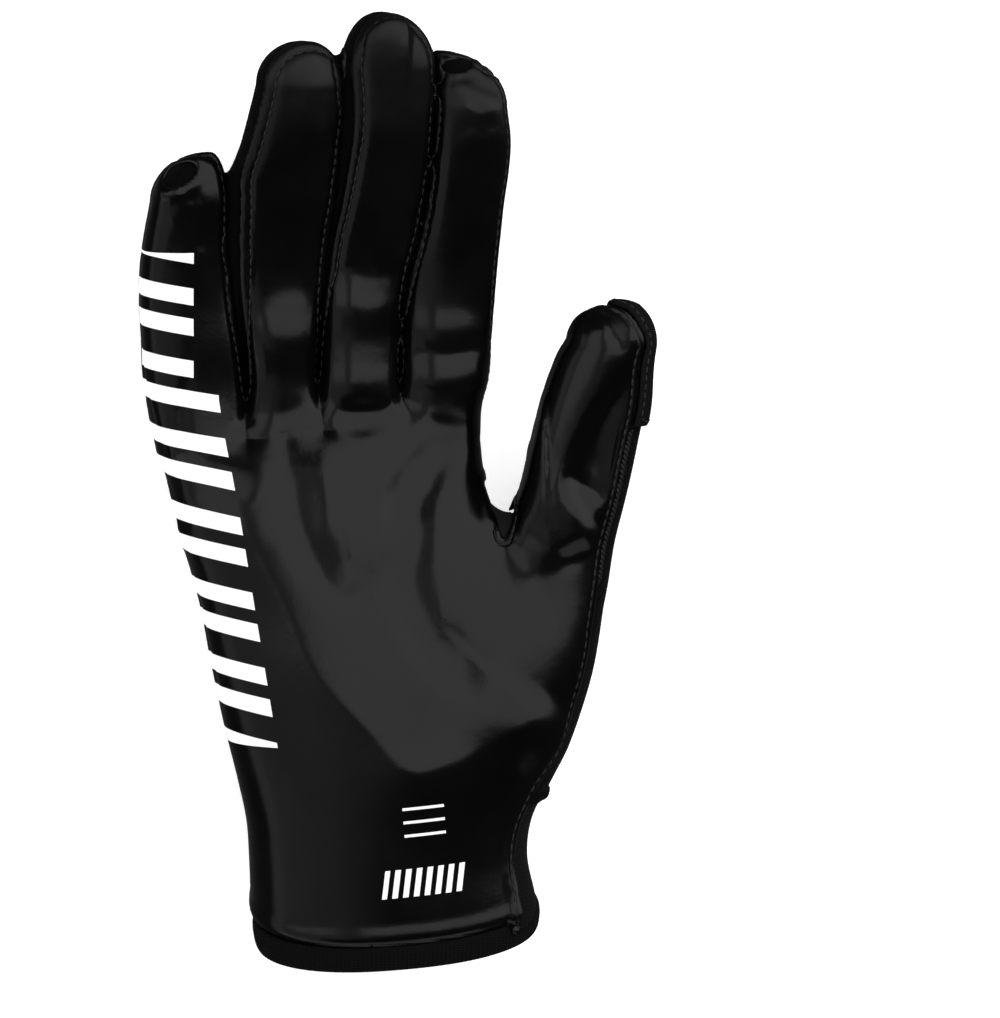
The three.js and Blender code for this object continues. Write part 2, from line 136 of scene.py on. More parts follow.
@dataclass(eq=False)
class Limb:
    """The palm, a finger or the thumb, as a smooth run of cross-sections."""

    sections: Sequence[Section]
    tip: Tip
    root: float = 8.0
    power: float = FINGER_POWER
    columns: dict[str, ARRAY] = field(init=False)

    def __post_init__(self) -> None:
        """Resample the table finely, so that the limb has no kinks at its rows."""
        places = np.array([row.y for row in self.sections], dtype=float)
        fine = np.arange(places[0], places[-1] + FINE_STEP / 2, FINE_STEP)
        fine[-1] = min(fine[-1], places[-1])
        self.columns = {"y": fine}
        for name in ("x", "w", "z", "h", "turn"):
            values = np.array([getattr(row, name) for row in self.sections], dtype=float)
            self.columns[name] = hermite(places, values, fine)

    def at(self, name: str, y: ARRAY) -> ARRAY:
        """One column of the table at any y, held beyond its ends."""
        return np.interp(y, self.columns["y"], self.columns[name])

    def distance(self, points: ARRAY) -> ARRAY:
        """Signed distance from the limb's surface, negative inside, close to it exact.

        Args:
            points: An array of places, one to a row.

        Returns:
            One distance for each place.
        """
        x, y, z = points[:, 0], points[:, 1], points[:, 2]
        low, high = self.columns["y"][0], self.columns["y"][-1]
        along = np.clip(y, low, high)
        for _ in range(3):
            heading = np.radians(self.at("turn", along))
            ahead = (x - self.at("x", along)) * np.sin(heading) + (y - along) * np.cos(heading)
            along = np.clip(along + ahead, low, high)
        heading = np.radians(self.at("turn", along))
        across = (x - self.at("x", along)) * np.cos(heading) - (y - along) * np.sin(heading)
        ahead = (x - self.at("x", along)) * np.sin(heading) + (y - along) * np.cos(heading)
        up = z - self.at("z", along)
        end = np.where(ahead > 0.0, ahead / self.tip.length, -ahead / self.root)
        drift = np.where(ahead > 0.0, 1.0 - np.sqrt(1.0 - np.clip(end, 0.0, 1.0) ** 2), 0.0)
        across = across - self.tip.aside * drift
        up = up - self.tip.up * drift
        ring = (np.abs(across) / self.at("w", along)) ** self.power
        ring += (np.abs(up) / self.at("h", along)) ** self.power
        size = np.sqrt(ring ** (2.0 / self.power) + end**2)
        size = np.maximum(size, 1e-4)
        reach = np.sqrt(across**2 + up**2 + ahead**2)
        return reach * (1.0 - 1.0 / size)


def limb(
    rows: Iterable[tuple[float, ...]], tip: Tip, root: float = 8.0, power: float = FINGER_POWER
) -> Limb:
    """A limb from rows of x, y, half width, z, half height and heading."""
    return Limb([Section(*row) for row in rows], tip, root, power)


# Columns: x, y, half width, z, half height, heading in degrees
PALM = limb(
    (
        (-1.0, -140.0, 35.8, 21.0, 22.6), (-0.6, -112.0, 36.2, 21.0, 22.4),
        (-0.9, -104.0, 36.2, 20.8, 22.2), (-2.2, -92.0, 35.3, 20.4, 21.8),
        (-1.9, -83.0, 36.2, 20.0, 21.5), (-0.5, -73.0, 39.6, 19.6, 21.1),
        (0.5, -58.0, 44.1, 19.0, 20.4), (0.3, -42.0, 46.8, 18.2, 19.5),
        (-2.0, -28.0, 46.9, 17.2, 18.4), (-8.2, -16.0, 43.8, 16.2, 17.2),
        (-12.4, -9.0, 41.6, 15.6, 16.4), (-15.9, -3.0, 39.3, 14.8, 15.6),
        (-18.3, 7.0, 38.0, 13.4, 13.9), (-19.2, 12.0, 38.8, 12.2, 12.0, -4.0),
        (-19.6, 16.0, 38.0, 11.2, 9.4, -6.0),
    ),
    Tip(5.5, 0.0, 0.0),
    power=PALM_POWER,
)
LITTLE = limb(
    (
        (-43.0, -8.0, 9.0, 12.0, 11.0), (-46.3, 5.0, 10.6, 11.6, 10.8),
        (-48.6, 14.0, 11.6, 11.1, 10.4), (-50.1, 26.0, 12.2, 11.2, 9.8),
        (-51.1, 37.0, 12.1, 12.3, 9.3), (-52.1, 47.0, 11.7, 13.6, 9.0),
        (-52.7, 55.0, 11.1, 14.9, 8.7), (-52.6, 63.0, 10.4, 16.2, 8.4),
        (-52.0, 73.0, 9.4, 18.2, 7.8),
    ),
    Tip(12.5, 5.2, 1.5),
)
RING = limb(
    (
        (-28.5, -5.0, 10.0, 12.0, 11.0), (-28.6, 14.0, 10.2, 11.0, 10.4),
        (-28.2, 22.0, 9.7, 11.0, 9.9), (-28.6, 27.0, 8.7, 11.3, 9.7), (-29.0, 38.0, 9.5, 12.4, 9.2),
        (-29.4, 47.0, 10.5, 13.6, 9.0), (-29.4, 55.0, 11.5, 14.9, 8.9),
        (-29.3, 63.0, 12.3, 16.2, 8.8), (-28.6, 73.0, 13.1, 18.1, 8.6),
        (-28.5, 80.0, 13.4, 19.4, 8.5), (-27.0, 88.0, 12.6, 21.0, 8.3),
        (-25.7, 98.0, 11.5, 23.2, 8.0), (-25.2, 103.0, 10.9, 24.3, 7.9),
    ),
    Tip(11.3, 0.9, 1.5),
)
MIDDLE = limb(
    (
        (-8.6, -5.0, 10.0, 12.0, 11.0), (-9.0, 14.0, 10.8, 11.0, 10.4),
        (-9.2, 22.0, 11.0, 11.0, 10.0), (-9.2, 27.0, 10.1, 11.3, 9.8), (-8.9, 38.0, 9.9, 12.5, 9.4),
        (-8.4, 47.0, 9.8, 13.8, 9.2), (-7.2, 55.0, 10.1, 15.0, 9.1), (-5.8, 63.0, 10.6, 16.4, 9.0),
        (-4.2, 73.0, 10.7, 18.2, 8.8), (-3.5, 80.0, 10.8, 19.6, 8.6), (-2.9, 88.0, 10.9, 21.2, 8.5),
        (-2.7, 98.0, 11.0, 23.4, 8.3), (-3.3, 107.0, 11.6, 25.4, 8.1),
    ),
    Tip(14.4, -2.2, 1.8),
)
INDEX = limb(
    (
        (9.0, -5.0, 10.4, 12.0, 11.0), (9.6, 5.0, 10.2, 11.6, 10.8), (10.2, 14.0, 10.4, 11.0, 10.4),
        (11.3, 22.0, 11.0, 11.0, 10.0), (12.4, 27.0, 11.0, 11.3, 9.8),
        (12.9, 38.0, 11.3, 12.3, 9.3), (13.5, 47.0, 11.4, 13.4, 9.1), (14.5, 55.0, 11.0, 14.5, 8.9),
        (15.8, 63.0, 10.4, 15.7, 8.7), (17.1, 73.0, 10.0, 17.2, 8.5), (17.9, 80.0, 10.1, 18.4, 8.4),
        (18.4, 88.0, 10.0, 19.8, 8.2), (18.0, 97.0, 9.3, 21.3, 7.9),
    ),
    Tip(13.5, -8.8, 1.2),
)
THUMB = limb(
    (
        (28.0, -56.0, 14.0, 20.2, 17.0, 30.0), (34.2, -38.0, 15.4, 20.0, 16.4, 24.0),
        (38.8, -22.0, 14.4, 20.8, 14.2, 17.0), (41.9, -10.0, 13.0, 22.3, 12.5, 12.0),
        (44.4, -1.6, 12.4, 24.0, 11.6, 10.0), (46.0, 6.0, 12.5, 24.9, 11.1, 9.0),
        (47.4, 14.0, 12.6, 25.9, 10.7, 9.0), (49.4, 24.0, 12.3, 27.3, 10.2, 9.0),
        (51.1, 34.0, 11.0, 28.8, 9.6, 6.0), (52.4, 38.0, 10.2, 29.4, 9.3, 4.0),
    ),
    Tip(9.8, 1.6, 1.0),
    root=14.0,
)


@dataclass(frozen=True)
class SeamLine:
    """Where the leather's edge runs on one side of a finger, as a rise above its centre at each y."""

    finger: Limb
    side: int
    rises: tuple[tuple[float, float], ...]


@dataclass
class HandForm:
    """The whole filled hand as one smooth form, with the sheet along which its two sides are sewn."""

    palm: Limb = PALM
    thumb: Limb = THUMB
    fingers: tuple[Limb, ...] = (LITTLE, RING, MIDDLE, INDEX)
    palm_fillet: float = 5.0
    thumb_fillet: float = 9.0
    floor_round: float = 2.5
    ulnar_edge: tuple[tuple[float, float], ...] = (
        (-140.0, 9.0), (-60.0, 8.0), (0.0, 6.5), (24.0, 6.5), (52.0, 9.5), (73.0, 13.5),
        (95.0, 16.0),
    )
    radial_edge: tuple[tuple[float, float], ...] = (
        (-140.0, 35.0), (-105.0, 34.8), (-91.0, 33.6), (-78.0, 32.4), (-56.0, 32.0), (-40.0, 32.0),
        (-30.0, 32.5), (-10.0, 33.0), (0.0, 33.8), (14.0, 34.9), (24.0, 35.8), (34.0, 36.8),
        (60.0, 37.0),
    )
    radial_inset: tuple[tuple[float, float], ...] = ((-60.0, 8.0), (-30.0, 3.5))
    seam_lines: tuple[SeamLine, ...] = (
        SeamLine(LITTLE, 1, ((20.0, 1.0),)),
        SeamLine(RING, -1, ((20.0, 1.5), (60.0, 6.0))),
        SeamLine(RING, 1, ((20.0, 0.0), (60.0, 1.5))),
        SeamLine(MIDDLE, -1, ((20.0, 0.0), (60.0, 2.0), (90.0, 6.0))),
        SeamLine(MIDDLE, 1, ((20.0, 0.0), (60.0, 1.0))),
        SeamLine(INDEX, -1, ((20.0, 0.0),)),
        SeamLine(INDEX, 1, ((16.0, -4.0), (36.0, 3.0), (60.0, 4.0))),
        SeamLine(THUMB, -1, ((0.0, -5.0),)),
    )

    def distance(self, points: ARRAY, touch: float = 0.0) -> ARRAY:
        """Signed distance from the hand's surface before it is laid down.

        Args:
            points: An array of places, one to a row.
            touch: Fingers whose gap is under half of this press on each other and close it.

        Returns:
            One distance for each place.
        """
        fingers = self.fingers[0].distance(points)
        for finger in self.fingers[1:]:
            other = finger.distance(points)
            fingers = blend_min(fingers, other, touch) if touch else np.minimum(fingers, other)
        hand = blend_min(self.palm.distance(points), fingers, self.palm_fillet)
        return blend_min(hand, self.thumb.distance(points), self.thumb_fillet)

    def laid(self, points: ARRAY, touch: float = 0.0) -> ARRAY:
        """The same, flattened where the back lies on the floor."""
        return -blend_min(-self.distance(points, touch), points[:, 2], self.floor_round)

    def above_seam(self, points: ARRAY) -> ARRAY:
        """Height over the sheet along which leather meets knit."""
        return points[:, 2] - self.seam_height(points[:, 0], points[:, 1])

    @staticmethod
    def above_hem(points: ARRAY) -> ARRAY:
        """Distance along the hand from the hem, which leans and runs askew."""
        lean = HEM_SLOPE * (points[:, 2] - HEM_MID_HEIGHT)
        return points[:, 1] - HEM_SKEW * points[:, 0] + lean - HEM_Y

    def seam_height(self, x: ARRAY, y: ARRAY) -> ARRAY:
        """Height of the seam sheet over any place on the floor."""
        ulnar = np.interp(y, *zip(*self.ulnar_edge))
        radial = np.interp(y, *zip(*self.radial_edge))
        palm_left = self.palm.at("x", y) - self.palm.at("w", y)
        palm_right = self.palm.at("x", y) + self.palm.at("w", y)
        little_left = LITTLE.at("x", y) - LITTLE.at("w", y)
        left = np.where(y < LITTLE.columns["y"][0], palm_left, np.minimum(little_left, palm_left))
        thumb_right = self.thumb.at("x", y) + self.thumb.at("w", y)
        right = np.where(y < self.thumb.sections[1].y, palm_right, thumb_right)
        right = right - np.interp(y, *zip(*self.radial_inset))
        height = np.where(x < left, ulnar, 0.0)
        last_x, last_z, done = left, ulnar, x < left
        for line in self.seam_lines:
            place = line.finger.at("x", y) + line.side * line.finger.at("w", y)
            place = np.minimum(np.maximum(place, last_x + 0.5), right - 0.5)
            rise = line.finger.at("z", y) + np.interp(y, *zip(*line.rises))
            height, done = self._span(x, last_x, place, last_z, rise, height, done)
            last_x, last_z = place, rise
        height, done = self._span(x, last_x, right, last_z, radial, height, done)
        return np.where(done, height, radial)

    @staticmethod
    def _span(
        x: ARRAY, x0: ARRAY, x1: ARRAY, z0: ARRAY, z1: ARRAY, height: ARRAY, done: ARRAY
    ) -> tuple[ARRAY, ARRAY]:
        """Fill in the sheet's height between two of its lines."""
        share = np.clip((x - x0) / np.maximum(x1 - x0, 1e-6), 0.0, 1.0)
        here = ~done & (x <= x1)
        return np.where(here, z0 + (z1 - z0) * share, height), done | here


@dataclass
class Skin:
    """Points in mm and faces of three or four corners, as arrays and lists."""

    points: ARRAY
    faces: list[tuple[int, ...]]

    def normals(self) -> ARRAY:
        """Unit normals of the points, from the faces round them."""
        total = np.zeros_like(self.points)
        for size in (3, 4):
            group = np.array([face for face in self.faces if len(face) == size], dtype=int)
            if not len(group):
                continue
            first = self.points[group[:, size - 1]] - self.points[group[:, 1]]
            second = self.points[group[:, 2]] - self.points[group[:, 0]]
            area = np.cross(second, first)
            for corner in range(size):
                np.add.at(total, group[:, corner], area)
        length = np.linalg.norm(total, axis=1, keepdims=True)
        return total / np.maximum(length, 1e-9)

    def used(self) -> "Skin":
        """The same skin without points that no face uses."""
        flat = np.array([corner for face in self.faces for corner in face], dtype=int)
        kept, _ = np.unique(flat, return_index=True)
        place = np.full(len(self.points), -1)
        place[kept] = np.arange(len(kept))
        faces = [tuple(int(place[corner]) for corner in face) for face in self.faces]
        return Skin(self.points[kept], faces)

    def rim(self) -> list[tuple[int, int]]:
        """The edges that only one face uses, in the direction of that face."""
        edges = {}
        for face in self.faces:
            for start, end in zip(face, face[1:] + face[:1]):
                if (end, start) in edges:
                    del edges[(end, start)]
                else:
                    edges[(start, end)] = True
        return list(edges)


def gradient(function: Callable[[ARRAY], ARRAY], points: ARRAY, step: float = 0.05) -> ARRAY:
    """The slope of a function of place, by small steps along each axis."""
    slopes = []
    for axis in range(3):
        move = np.zeros(3)
        move[axis] = step
        slopes.append((function(points + move) - function(points - move)) / (2 * step))
    return np.stack(slopes, axis=1)


def extract(function: Callable[[ARRAY], ARRAY], low: PLACE, high: PLACE, pitch: float) -> Skin:
    """The surface where a function of place is zero, as a fine even skin.

    Args:
        function: Signed distance in mm, negative inside.
        low: Lowest corner of the space to look in.
        high: Highest corner of it.
        pitch: Spacing of the grid.

    Returns:
        The skin, with its points moved onto the exact surface.
    """
    low, high = np.array(low), np.array(high)
    counts = np.ceil((high - low) / pitch).astype(int) + 1
    axes = [low[k] + pitch * np.arange(counts[k]) for k in range(3)]
    values = np.empty(tuple(counts), dtype=np.float32)
    y, z = np.meshgrid(axes[1], axes[2], indexing="ij")
    for index, x in enumerate(axes[0]):
        layer = np.stack([np.full(y.size, x), y.ravel(), z.ravel()], axis=1)
        values[index] = function(layer).reshape(y.shape)
    grid = openvdb.FloatGrid(float(4 * pitch))
    grid.copyFromArray(np.clip(values, -4 * pitch, 4 * pitch))
    points, quads = grid.convertToQuads(0.0)
    points = points.astype(float) * pitch + low
    for _ in range(3):
        slope = gradient(function, points)
        steepness = np.maximum((slope**2).sum(axis=1, keepdims=True), 0.25)
        move = -function(points)[:, None] * slope / steepness
        points = points + np.clip(move, -pitch, pitch)
    return Skin(points, [tuple(int(k) for k in quad) for quad in quads])


def clip(skin: Skin, values: ARRAY) -> Skin:
    """The part of a skin where values are above zero, with a clean edge along the zero line."""
    points, level = skin.points.copy(), values.copy()
    edges = np.array([(a, b) for face in skin.faces for a, b in zip(face, face[1:] + face[:1]) if a < b])
    start, end = edges[:, 0], edges[:, 1]
    crossing = level[start] * level[end] < 0
    for a, b in edges[crossing]:
        if level[a] * level[b] >= 0:
            continue
        share = level[a] / (level[a] - level[b])
        if share < 0.25:
            points[a] += (points[b] - points[a]) * share
            level[a] = 0.0
        elif share > 0.75:
            points[b] += (points[a] - points[b]) * (1 - share)
            level[b] = 0.0
    new_points: list[ARRAY] = []
    made: dict[tuple[int, int], int] = {}

    def cut(a: int, b: int) -> int:
        key = (min(a, b), max(a, b))
        if key not in made:
            share = level[a] / (level[a] - level[b])
            made[key] = len(points) + len(new_points)
            new_points.append(points[a] + (points[b] - points[a]) * share)
        return made[key]

    faces = []
    for face in skin.faces:
        here = [level[corner] for corner in face]
        if min(here) >= 0.0:
            if max(here) > 0.0:
                faces.append(face)
            continue
        if max(here) <= 0.0:
            continue
        ring = []
        for index, corner in enumerate(face):
            following = face[(index + 1) % len(face)]
            if level[corner] >= 0.0:
                ring.append(corner)
            if level[corner] * level[following] < 0.0:
                ring.append(cut(corner, following))
        for index in range(1, len(ring) - 1):
            faces.append((ring[0], ring[index], ring[index + 1]))
    every = np.vstack([points, np.array(new_points)]) if new_points else points
    return Skin(every, faces).used()


def build_object(name: str, skin: Skin, material: bpy.types.Material) -> bpy.types.Object:
    """A smooth-shaded Blender object from a skin in the hand's own millimetres."""
    mesh = bpy.data.meshes.new(name)
    mesh.from_pydata(((skin.points + HAND_SHIFT) * MM).tolist(), [], skin.faces)
    mesh.polygons.foreach_set("use_smooth", [True] * len(mesh.polygons))
    mesh.materials.append(material)
    mesh.update()
    thing = bpy.data.objects.new(name, mesh)
    bpy.context.scene.collection.objects.link(thing)
    return thing


def thicken(skin: Skin, depth: float, swell: float = 0.22) -> tuple[Skin, ARRAY]:
    """Give an open skin a thickness, with a rounded edge round its rim.

    Args:
        skin: The outer face.
        depth: The thickness, inwards.
        swell: How far the rounded edge stands out, as a share of the thickness.

    Returns:
        The closed skin, and for each of its points the index of the outer point it came from.
    """
    normals = skin.normals()
    count = len(skin.points)
    rim = skin.rim()
    inner = skin.points - normals * depth
    faces = list(skin.faces)
    faces += [tuple(corner + count for corner in reversed(face)) for face in skin.faces]
    outward = np.zeros_like(skin.points)
    for start, end in rim:
        side = np.cross(skin.points[end] - skin.points[start], normals[start])
        outward[start] += side
        outward[end] += side
    length = np.linalg.norm(outward, axis=1, keepdims=True)
    outward /= np.maximum(length, 1e-9)
    on_rim = sorted({corner for edge in rim for corner in edge})
    place = {corner: 2 * count + index for index, corner in enumerate(on_rim)}
    middle = skin.points[on_rim] - normals[on_rim] * depth / 2 + outward[on_rim] * depth * swell
    for start, end in rim:
        faces.append((end, start, place[start], place[end]))
        faces.append((place[end], place[start], start + count, end + count))
    source = np.concatenate([np.arange(count), np.arange(count), np.array(on_rim, dtype=int)])
    return Skin(np.vstack([skin.points, inner, middle]), faces), source


def contour(skin: Skin, values: ARRAY, level: float) -> list[ARRAY]:
    """The lines over a skin along which values have one level, each as a run of points."""
    crossings: dict[tuple[int, int], ARRAY] = {}
    neighbours: dict[tuple[int, int], list[tuple[int, int]]] = {}
    high = values > level
    for face in skin.faces:
        if all(high[corner] for corner in face) or not any(high[corner] for corner in face):
            continue
        keys = []
        for start, end in zip(face, face[1:] + face[:1]):
            if high[start] != high[end]:
                key = (min(start, end), max(start, end))
                share = (level - values[key[0]]) / (values[key[1]] - values[key[0]])
                crossings[key] = skin.points[key[0]] * (1 - share) + skin.points[key[1]] * share
                keys.append(key)
        for one, other in zip(keys[0::2], keys[1::2]):
            neighbours.setdefault(one, []).append(other)
            neighbours.setdefault(other, []).append(one)
    lines, used = [], set()
    for start in sorted(neighbours, key=lambda key: len(neighbours[key])):
        if start in used:
            continue
        used.add(start)
        chain = [start]
        while True:
            onward = [key for key in neighbours[chain[-1]] if key not in used]
            if not onward:
                break
            used.add(onward[0])
            chain.append(onward[0])
        if chain[0] in neighbours[chain[-1]] and len(chain) > 2:
            chain.append(chain[0])
        lines.append(np.array([crossings[key] for key in chain]))
    return lines


def run_length(line: ARRAY) -> ARRAY:
    """How far each point of a line is from its start, along the line."""
    return np.concatenate([[0.0], np.cumsum(np.linalg.norm(np.diff(line, axis=0), axis=1))])


def resample(line: ARRAY, pitch: float) -> ARRAY:
    """The same line with points at an even pitch."""
    reach = run_length(line)
    count = max(int(round(reach[-1] / pitch)), 1)
    places = np.linspace(0.0, reach[-1], count + 1)
    return np.stack([np.interp(places, reach, line[:, axis]) for axis in range(3)], axis=1)


def smooth_line(line: ARRAY, rounds: int) -> ARRAY:
    """The same line with its small wobbles evened out."""
    for _ in range(rounds):
        line = np.vstack([line[:1], (line[:-2] + 2 * line[1:-1] + line[2:]) / 4.0, line[-1:]])
    return line


def tube(path: ARRAY, radii: ARRAY, sides: int, up: ARRAY) -> Skin:
    """A closed round tube along a path.

    Args:
        path: Points along the middle of the tube.
        radii: The tube's radius at each point.
        sides: How many sides the tube has.
        up: A direction at each point that isn't along the path.

    Returns:
        The tube, with a point at each end.
    """
    ahead = np.gradient(path, axis=0)
    ahead /= np.maximum(np.linalg.norm(ahead, axis=1, keepdims=True), 1e-9)
    side = np.cross(ahead, up)
    side /= np.maximum(np.linalg.norm(side, axis=1, keepdims=True), 1e-9)
    top = np.cross(side, ahead)
    angles = np.arange(sides) * math.tau / sides
    rings = [
        path + radii[:, None] * (math.cos(angle) * side + math.sin(angle) * top) for angle in angles
    ]
    points = np.stack(rings, axis=1).reshape(-1, 3)
    count = len(path)
    faces: list[tuple[int, ...]] = []
    for row in range(count - 1):
        for k in range(sides):
            one, other = row * sides + k, row * sides + (k + 1) % sides
            faces.append((one, one + sides, other + sides, other))
    start, end = len(points), len(points) + 1
    points = np.vstack([points, path[:1], path[-1:]])
    for k in range(sides):
        faces.append((start, k, (k + 1) % sides))
        faces.append((end, (count - 1) * sides + (k + 1) % sides, (count - 1) * sides + k))
    return Skin(points, faces)


def gather(parts: Sequence[Skin]) -> Skin:
    """Many skins as one."""
    shift, points, faces = 0, [], []
    for part in parts:
        points.append(part.points)
        faces += [tuple(corner + shift for corner in face) for face in part.faces]
        shift += len(part.points)
    return Skin(np.vstack(points), faces)


def paint(thing: bpy.types.Object, name: str, values: ARRAY) -> None:
    """Store one number for each point of a mesh, for its material to read."""
    layer = thing.data.attributes.new(name, "FLOAT", "POINT")
    layer.data.foreach_set("value", values.astype(np.float32))


def curve_through(path: Sequence[tuple[float, float]], pitch: float = 0.8) -> ARRAY:
    """A smooth plan curve through a few places."""
    places = np.array(path, dtype=float)
    reach = np.concatenate([[0.0], np.cumsum(np.linalg.norm(np.diff(places, axis=0), axis=1))])
    count = max(int(reach[-1] / pitch), 2)
    at = np.linspace(0.0, reach[-1], count + 1)
    return np.stack([hermite(reach, places[:, axis], at) for axis in range(2)], axis=1)


@dataclass(frozen=True)
class Fold:
    """A ridge or a crease along a curve over the palm.

    The curve is laid out as it is seen from above: across and along the hand, in millimetres. A
    height below zero sinks. Each side has its own reach, so that one flank can be the steeper.
    """

    path: tuple[tuple[float, float], ...]
    height: float
    left: float
    right: float
    round: float = 0.7
    fade: float = 0.25
    even: bool = False

    def lift(self, u: ARRAY, v: ARRAY) -> ARRAY:
        """How far the fold raises each place of the plan."""
        line = curve_through(self.path)
        best = np.full(u.shape, 1e9)
        side, share = np.zeros(u.shape), np.zeros(u.shape)
        margin = 5.0 * max(self.left, self.right)
        near = (u > line[:, 0].min() - margin) & (u < line[:, 0].max() + margin)
        near &= (v > line[:, 1].min() - margin) & (v < line[:, 1].max() + margin)
        pu, pv = u[near], v[near]
        near_best, near_side, near_share = best[near], side[near], share[near]
        last = len(line) - 2
        for index, (start, end) in enumerate(zip(line[:-1], line[1:])):
            du, dv = end - start
            span = du * du + dv * dv
            t = np.clip(((pu - start[0]) * du + (pv - start[1]) * dv) / span, 0.0, 1.0)
            eu, ev = pu - start[0] - t * du, pv - start[1] - t * dv
            far = np.hypot(eu, ev)
            closer = far < near_best
            near_best = np.where(closer, far, near_best)
            near_side = np.where(closer, du * ev - dv * eu, near_side)
            near_share = np.where(closer, (index + t) / (last + 1), near_share)
        reach = np.where(near_side > 0.0, self.left, self.right)
        away = np.sqrt(near_best**2 + self.round**2) - self.round
        ends = smoothstep(0.0, self.fade, near_share) * smoothstep(0.0, self.fade, 1.0 - near_share)
        profile = smoothstep(-0.1, 1.0, 1.0 - away / reach) if self.even else np.exp(-away / reach)
        raised = np.zeros(u.shape)
        raised[near] = self.height * profile * ends
        return raised


@dataclass(frozen=True)
class Mound:
    """A soft swelling, or a hollow where its height is below zero."""

    u: float
    v: float
    across: float
    along: float
    height: float
    turn: float = 0.0

    def lift(self, u: ARRAY, v: ARRAY) -> ARRAY:
        """How far the mound raises each place of the plan."""
        angle = math.radians(self.turn)
        du, dv = u - self.u, v - self.v
        across = (du * math.cos(angle) + dv * math.sin(angle)) / self.across
        along = (dv * math.cos(angle) - du * math.sin(angle)) / self.along
        return self.height * np.clip(1.0 - across**2 - along**2, 0.0, None) ** 2


@dataclass(frozen=True)
class Sag:
    """How far the palm side is lowered at each place along the hand, over one finger or all."""

    rows: tuple[tuple[float, float], ...]
    left: float = -99.0
    right: float = 99.0

    def drop(self, points: ARRAY) -> ARRAY:
        """How far each place is lowered."""
        places, depths = (np.array(column, dtype=float) for column in zip(*self.rows))
        fine = np.arange(places[0], places[-1], FINE_STEP)
        depth = np.interp(points[:, 1], fine, hermite(places, depths, fine))
        across = points[:, 0]
        near = smoothstep(self.left - 1.0, self.left + 1.0, across)
        return depth * near * (1.0 - smoothstep(self.right - 1.0, self.right + 1.0, across))


@dataclass(frozen=True)
class Ripples:
    """Fine upright gathers down the little-finger side."""

    height: float = 0.22
    pitch: float = 5.2
    start: float = -62.0
    end: float = 48.0
    inner: float = -36.0

    def lift(self, points: ARRAY) -> ARRAY:
        """How far each place is raised."""
        x, y, z = points[:, 0], points[:, 1], points[:, 2]
        run = 0.75 * z - 0.65 * x + 1.4 * np.sin(y / 13.0) + 0.9 * np.sin(y / 5.7 + 1.0)
        wave = np.sin(run * math.tau / self.pitch)
        wave = wave + 0.5 * np.sin(run * math.tau / (self.pitch * 0.6) + y / 9.0)
        limit = self.inner - 0.13 * (y + 60.0)
        window = smoothstep(0.0, 9.0, limit - x) * smoothstep(self.start, self.start + 22.0, y)
        return self.height * wave * window * (1.0 - smoothstep(self.end - 14.0, self.end, y))


@dataclass(eq=False)
class Relief:
    """Every crease, ridge, pad and gather that the filled palm side shows."""

    shapes: Sequence[Fold | Mound]
    ripples: Ripples = Ripples()
    spacing: float = 0.6
    low: tuple[float, float] = (-72.0, -118.0)
    high: tuple[float, float] = (72.0, 130.0)
    grid: ARRAY = field(init=False)

    def __post_init__(self) -> None:
        """Work the shapes out once, over an even grid of the plan."""
        u = np.arange(self.low[0], self.high[0], self.spacing)
        v = np.arange(self.low[1], self.high[1], self.spacing)
        across, along = np.meshgrid(u, v, indexing="ij")
        self.grid = sum(shape.lift(across, along) for shape in self.shapes)

    def lift(self, points: ARRAY) -> ARRAY:
        """How far the relief raises each place of the hand's surface."""
        height = points[:, 2] - VIEW_HEIGHT
        u = points[:, 0] * math.cos(VIEW_ASIDE) + height * math.sin(VIEW_ASIDE)
        v = points[:, 1] * math.cos(VIEW_AHEAD) - height * math.sin(VIEW_AHEAD)
        a = np.clip((u - self.low[0]) / self.spacing, 0, self.grid.shape[0] - 1.001)
        b = np.clip((v - self.low[1]) / self.spacing, 0, self.grid.shape[1] - 1.001)
        i, j = a.astype(int), b.astype(int)
        s, t = a - i, b - j
        low = self.grid[i, j] * (1 - s) + self.grid[i + 1, j] * s
        high = self.grid[i, j + 1] * (1 - s) + self.grid[i + 1, j + 1] * s
        return low * (1 - t) + high * t + self.ripples.lift(points)


WRIST_SAG = Sag(((-125.0, 3.0), (-112.0, 2.4), (-97.0, 1.6), (-82.0, 0.7), (-69.0, 0.0), (-60.0, 0.0)))
SAGS = (
    WRIST_SAG,
    Sag(((20.0, 0.0), (38.0, 0.3), (50.0, 1.2), (62.0, 1.2), (75.0, 0.4), (85.0, 0.0)), right=-39.5),
    Sag(
        ((24.0, 0.0), (29.0, 0.0), (38.6, -0.6), (47.0, 1.05), (56.0, 3.1), (63.0, 2.6), (73.0, 1.3),
         (85.0, 0.2), (92.0, 0.0), (100.0, -0.2), (108.0, -0.5), (116.0, -0.6)),
        -39.5, -18.2,
    ),
    Sag(
        ((20.0, 0.0), (27.0, -0.6), (33.0, 0.25), (39.0, 1.0), (46.6, 1.1),
         (51.0, 2.0), (56.0, 3.1), (63.0, 2.6), (73.0, 1.3), (85.0, 0.2), (92.0, 0.0), (100.0, -0.2),
         (106.0, -0.8), (112.0, -2.0), (117.0, -3.2), (122.0, -3.4)),
        -18.2, 1.8,
    ),
    Sag(
        ((14.0, 0.0), (21.6, 0.5), (26.6, -0.15), (34.6, 0.8), (40.0, 0.9), (46.6, 1.95), (55.0, 2.4),
         (63.0, 2.0), (73.0, 1.2), (85.0, 0.2), (92.0, 0.0)),
        1.8, 33.0,
    ),
    Sag(((-8.0, 0.0), (0.0, 0.5), (12.0, 1.9), (24.0, 3.1), (36.0, 4.0), (46.0, 4.4), (50.0, 4.4)), 35.5),
)

